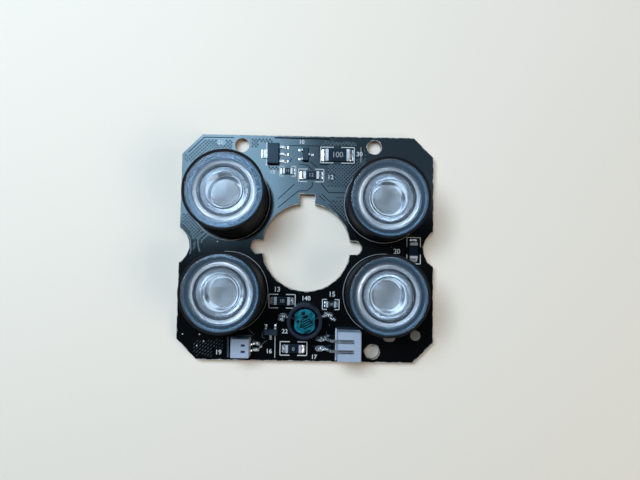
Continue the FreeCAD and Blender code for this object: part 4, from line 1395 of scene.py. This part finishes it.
# Joints at leads: place, run, width and rise, or place and run alone. Drops: place, length, width, turn
# and rise.
LEAD_JOINTS = (
    (-5.0, 18.0, 0.85, 0.62, 0.32),
    (-5.0, 19.5, 0.85, 0.62, 0.32),
    (-5.0, 21.0, 0.85, 0.62, 0.32),
    (-9.35, 19.5, -0.5, 1.75, 0.32),
    (-1.71, 18.55, -0.32, 0.46, 0.14),
    (-1.71, 20.45, -0.32, 0.46, 0.14),
    (0.79, 19.5, 0.32, 0.46, 0.14),
)
SWITCH_JOINTS = ((-7.95, -16.4, 0.32), (-6.05, -16.4, 0.32), (-7.0, -18.9, -0.32))
DROPS = (
    (3.25, -20.85, 2.2, 1.3, 2.0, 0.62),
    (3.25, -18.85, 2.2, 1.3, -4.0, 0.62),
    (-9.9, -21.32, 1.35, 0.8, 0.0, 0.42),
    (-9.75, -20.0, 1.3, 0.85, -20.0, 0.5),
    (-4.5, -14.35, 1.95, 1.15, 8.0, 0.7),
    (4.85, -13.95, 2.1, 1.2, -8.0, 0.7),
    (-4.9, -15.1, 1.5, 0.7, -10.0, 0.35),
    (5.75, -14.8, 1.5, 0.75, -12.0, 0.35),
    (4.55, -18.3, 1.1, 0.6, 14.0, 0.3),
    (-9.0, -20.7, 0.8, 0.5, 35.0, 0.25),
)
WORN_PAD = (17.45, -18.15, 2.5, 2.2, 0.0, 0.1)
PAD_RUN = {"sense": 0.85, "bias": 0.8, "trim": 0.45, "gate": 0.8, "cell": 0.45, "feed": 0.8, "edge": 0.8}
JOINT_OVERLAP = 0.01
LEAD_FOOT = 0.04
DROP_FOOT = 0.02
PAD_FOOT = 0.01
SWITCH_LEAD_WIDTH = 0.46
SWITCH_LEAD_RISE = 0.14
CHIP_JOINT_SHARE = 0.98
DROP_LUMPS = 0.07
DROP_LEAN = 0.16


def solder_fillet(start, along, width, rise, foot, phase):
    """Solder that leans on a face: at the share u of its run and v across, its height is
    foot + (rise - foot) (1 - u)^2.2 (1 - 0.3 v^4), with ripples of a fiftieth of a millimetre, and it
    narrows by 14 percent towards its end as u^4."""
    u = np.linspace(0, 1, 12)[:, None]
    v = np.linspace(-1, 1, 15)[None, :]
    start = np.asarray(start, float)
    along = np.asarray(along, float)
    across = np.array([-along[1], along[0]]) / np.linalg.norm(along) * width / 2
    half = 1 - 0.14 * u**4
    height = foot + (rise - foot) * (1 - u) ** 2.2 * (1 - 0.3 * v**4)
    height = height + 0.02 * np.sin(7 * u + 5 * v + phase) * np.sin(math.pi * u)
    plan = start + u[..., None] * along + (half * v)[..., None] * across
    top = np.concatenate([plan, (BOARD_TOP + height)[..., None]], axis=-1)
    corners = plan[:, [-1, 0]]
    base = np.concatenate([corners, np.full((*corners.shape[:2], 1), LAID_LEVEL)], axis=-1)
    return carried(np.concatenate([top, base], axis=1))


def chip_joints(part, settings):
    """The two fillets at the ends of a chip resistor, along its longer side."""
    low, high = node_box(part + "_resistor_caps")
    size = high - low
    axis = 0 if size[0] > size[1] else 1
    width = size[1 - axis] * CHIP_JOINT_SHARE
    joints = []
    for side in (-1.0, 1.0):
        start = ((low + high) / 2)[:2]
        start[axis] += side * (size[axis] / 2 - JOINT_OVERLAP)
        along = np.zeros(2)
        along[axis] = side * PAD_RUN[part]
        rise, foot = settings.solder_rise, settings.solder_foot
        joints.append(solder_fillet(start, along, width, rise, foot, phase=start[0]))
    return joints


def lead_joint(x, y, run, width, rise, upright=False):
    """The fillet at the end of a lead, which runs across the board or up it."""
    overlap = math.copysign(JOINT_OVERLAP, run)
    if upright:
        return solder_fillet((x, y - overlap), (0.0, run), width, rise, LEAD_FOOT, phase=x)
    return solder_fillet((x - overlap, y), (run, 0.0), width, rise, LEAD_FOOT, phase=y)


class ILLUMINATOR_OT_solder(bpy.types.Operator):
    """Forms the solder at the parts and pads, and finishes the tinned pad"""

    bl_idname = "illuminator.solder"
    bl_label = "Solder"

    def execute(self, context):
        settings = context.scene.illuminator_parts
        solder = new_finish(
            "flowed_solder",
            shades(settings.solder_colour, 0.8, 1.0),
            (0.1, 0.3),
            drift=900.0,
            grain=1300.0,
            relief=0.04,
            metal=(0.7, 1.0),
        )
        shapes = []
        for part in RESISTORS:
            shapes.extend(chip_joints(part, settings))
        shapes.extend(lead_joint(*joint) for joint in LEAD_JOINTS)
        for x, y, run in SWITCH_JOINTS:
            shapes.append(lead_joint(x, y, run, SWITCH_LEAD_WIDTH, SWITCH_LEAD_RISE, upright=True))
        for x, y, length, width, turn, rise in DROPS:
            size = (length, width, turn, LAID_LEVEL, BOARD_TOP + DROP_FOOT, rise)
            shapes.append(drop((x, y), *size, lumps=DROP_LUMPS, phase=x, lean=DROP_LEAN))
        show_closed("solder_flow", shapes, solder, ["solder_joints"], sharp=60.0)
        tin = new_finish("dull_tin", shades(DULL_TIN, 1.0, 1.5), (0.5, 0.65), relief=0.003, Metallic=0.5)
        finish_node("test_pad", tin)
        x, y, length, width, turn, rise = WORN_PAD
        pad = drop((x, y), length, width, turn, LAID_LEVEL, BOARD_TOP + PAD_FOOT, rise)
        show_closed("worn_pad", [pad], tin)
        return {"FINISHED"}


# The camera stands over the board, turned by three angles. The lamps hang flat; each strip has its
# limits along the board and across it, and its share of the lamp's level.
CAMERA_DISTANCE = 108.5
CAMERA_OFFSET = (2.86, 1.5)
CAMERA_TURN = (-3.57, 0.09, -1.01)
CAMERA_LENS = 29.25
CAMERA_SENSOR = 36.0
CAMERA_NEAR = 5.0
LAMP_HEIGHT = 420.0
WINDOW_STRIPS = (
    (-330.0, -175.0, 42.0, 300.0, 1.0),
    (-175.0, -130.0, 42.0, 300.0, 0.5),
    (-130.0, -79.0, 42.0, 300.0, 0.9),
    (-79.0, -38.0, 42.0, 300.0, 0.68),
    (-38.0, -14.0, 46.0, 300.0, 0.4),
    (-14.0, 12.0, 92.0, 300.0, 0.13),
    (-14.0, 30.0, 50.0, 92.0, 0.26),
    (12.0, 170.0, 92.0, 300.0, 0.055),
    (30.0, 170.0, 62.0, 92.0, 0.07),
)
ROOM_STRIP = (300.0, 800.0, -500.0, 0.0, 1.0)
FLOOR_RADIUS = 700.0
BACKDROP_RADIUS = 260.0
FLOOR_LEVEL = -0.02


class ILLUMINATOR_OT_stage(bpy.types.Operator):
    """Sets the floor, the lamps, the world and the camera"""

    bl_idname = "illuminator.stage"
    bl_label = "Stage"

    def execute(self, context):
        settings = context.scene.illuminator_stage
        self.make_floor(context, settings)
        self.make_light(context, settings)
        self.make_camera(context)
        context.scene.view_settings.view_transform = "Standard"
        return {"FINISHED"}

    def make_floor(self, context, settings):
        """A flat disc that turns up into a round backdrop along a quarter circle."""
        angle = np.linspace(0, math.pi / 2, 24)
        radius = FLOOR_RADIUS + BACKDROP_RADIUS * np.sin(angle)
        level = BACKDROP_RADIUS * (1 - np.cos(angle)) + FLOOR_LEVEL
        profile = np.concatenate([[(0.0, FLOOR_LEVEL)], np.stack([radius, level], axis=1)])
        mesh = make_mesh("floor", *turned(profile, steps=96))
        close_shell(mesh, closed=False)
        mesh.shade_smooth()
        floor = bpy.data.objects.new("floor", mesh)
        context.scene.collection.objects.link(floor)
        pale = shades(settings.floor_colour, 0.97, 1.0)
        mesh.materials.append(new_finish("pale_floor", pale, (0.6, 0.7), drift=8.0, relief=0.0))

    def make_light(self, context, settings):
        """A soft lamp in strips on one side, a warm one on the other and an even light."""
        for strip in WINDOW_STRIPS:
            self.hang_lamp(context, "window", strip, settings.panel_level, settings.panel_colour)
        self.hang_lamp(context, "room", ROOM_STRIP, settings.room_level, settings.room_colour)
        world = bpy.data.worlds.new("even_light")
        world.use_nodes = True
        background = world.node_tree.nodes["Background"].inputs
        background["Color"].default_value = (*settings.world_colour, 1.0)
        background["Strength"].default_value = settings.world_strength
        context.scene.world = world

    def hang_lamp(self, context, name, strip, level, colour):
        """Hangs a flat lamp over an area x0 to x1 and y0 to y1, at a share of a level. An area lamp's
        brightness is a quarter of its power over its area."""
        x0, x1, y0, y1, share = strip
        lamp = bpy.data.lights.new(name, "AREA")
        lamp.shape = "RECTANGLE"
        lamp.size = (x1 - x0) * MM
        lamp.size_y = (y1 - y0) * MM
        lamp.energy = 4 * lamp.size * lamp.size_y * level * share
        lamp.color = colour
        panel = bpy.data.objects.new(name, lamp)
        panel.location = Vector(((x0 + x1) / 2, (y0 + y1) / 2, LAMP_HEIGHT)) * MM
        context.scene.collection.objects.link(panel)

    def make_camera(self, context):
        """A camera that looks down at the board: its place is the turned offset and distance."""
        data = bpy.data.cameras.new("camera")
        data.sensor_width = CAMERA_SENSOR
        data.lens = CAMERA_LENS
        data.clip_start = CAMERA_NEAR * MM
        camera = bpy.data.objects.new("camera", data)
        turn = Euler([math.radians(angle) for angle in CAMERA_TURN], "XYZ").to_matrix().transposed()
        place = turn @ Vector((*CAMERA_OFFSET, CAMERA_DISTANCE)) + Vector((0.0, 0.0, BOARD_TOP))
        camera.matrix_world = Matrix.Translation(place * MM) @ turn.to_4x4()
        context.scene.collection.objects.link(camera)
        context.scene.camera = camera


OPERATORS = (
    ILLUMINATOR_OT_stage,
    ILLUMINATOR_OT_board,
    ILLUMINATOR_OT_printing,
    ILLUMINATOR_OT_holders,
    ILLUMINATOR_OT_lenses,
    ILLUMINATOR_OT_emitters,
    ILLUMINATOR_OT_packages,
    ILLUMINATOR_OT_resistors,
    ILLUMINATOR_OT_sensor,
    ILLUMINATOR_OT_connectors,
    ILLUMINATOR_OT_solder,
)
SETTINGS = (
    ("illuminator_board", BoardSettings),
    ("illuminator_lens", LensSettings),
    ("illuminator_parts", PartSettings),
    ("illuminator_stage", StageSettings),
)


class ILLUMINATOR_PT_panel(bpy.types.Panel):
    """Lists the steps and their settings"""

    bl_idname = "ILLUMINATOR_PT_panel"
    bl_label = "Illuminator"
    bl_space_type = "VIEW_3D"
    bl_region_type = "UI"
    bl_category = "Illuminator"

    def draw(self, context):
        for name, group in SETTINGS:
            box = self.layout.box()
            for setting in group.__annotations__:
                box.prop(getattr(context.scene, name), setting)
        for operator in OPERATORS:
            self.layout.operator(operator.bl_idname)


def register():
    for name, group in SETTINGS:
        bpy.utils.register_class(group)
        setattr(bpy.types.Scene, name, PointerProperty(type=group))
    for operator in OPERATORS:
        bpy.utils.register_class(operator)
    bpy.utils.register_class(ILLUMINATOR_PT_panel)


def unregister():
    bpy.utils.unregister_class(ILLUMINATOR_PT_panel)
    for operator in reversed(OPERATORS):
        bpy.utils.unregister_class(operator)
    for name, group in reversed(SETTINGS):
        delattr(bpy.types.Scene, name)
        bpy.utils.unregister_class(group)


def main():
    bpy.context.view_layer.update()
    register()
    for operator in OPERATORS:
        group, name = operator.bl_idname.split(".")
        getattr(getattr(bpy.ops, group), name)()


if __name__ == "__main__":
    main()
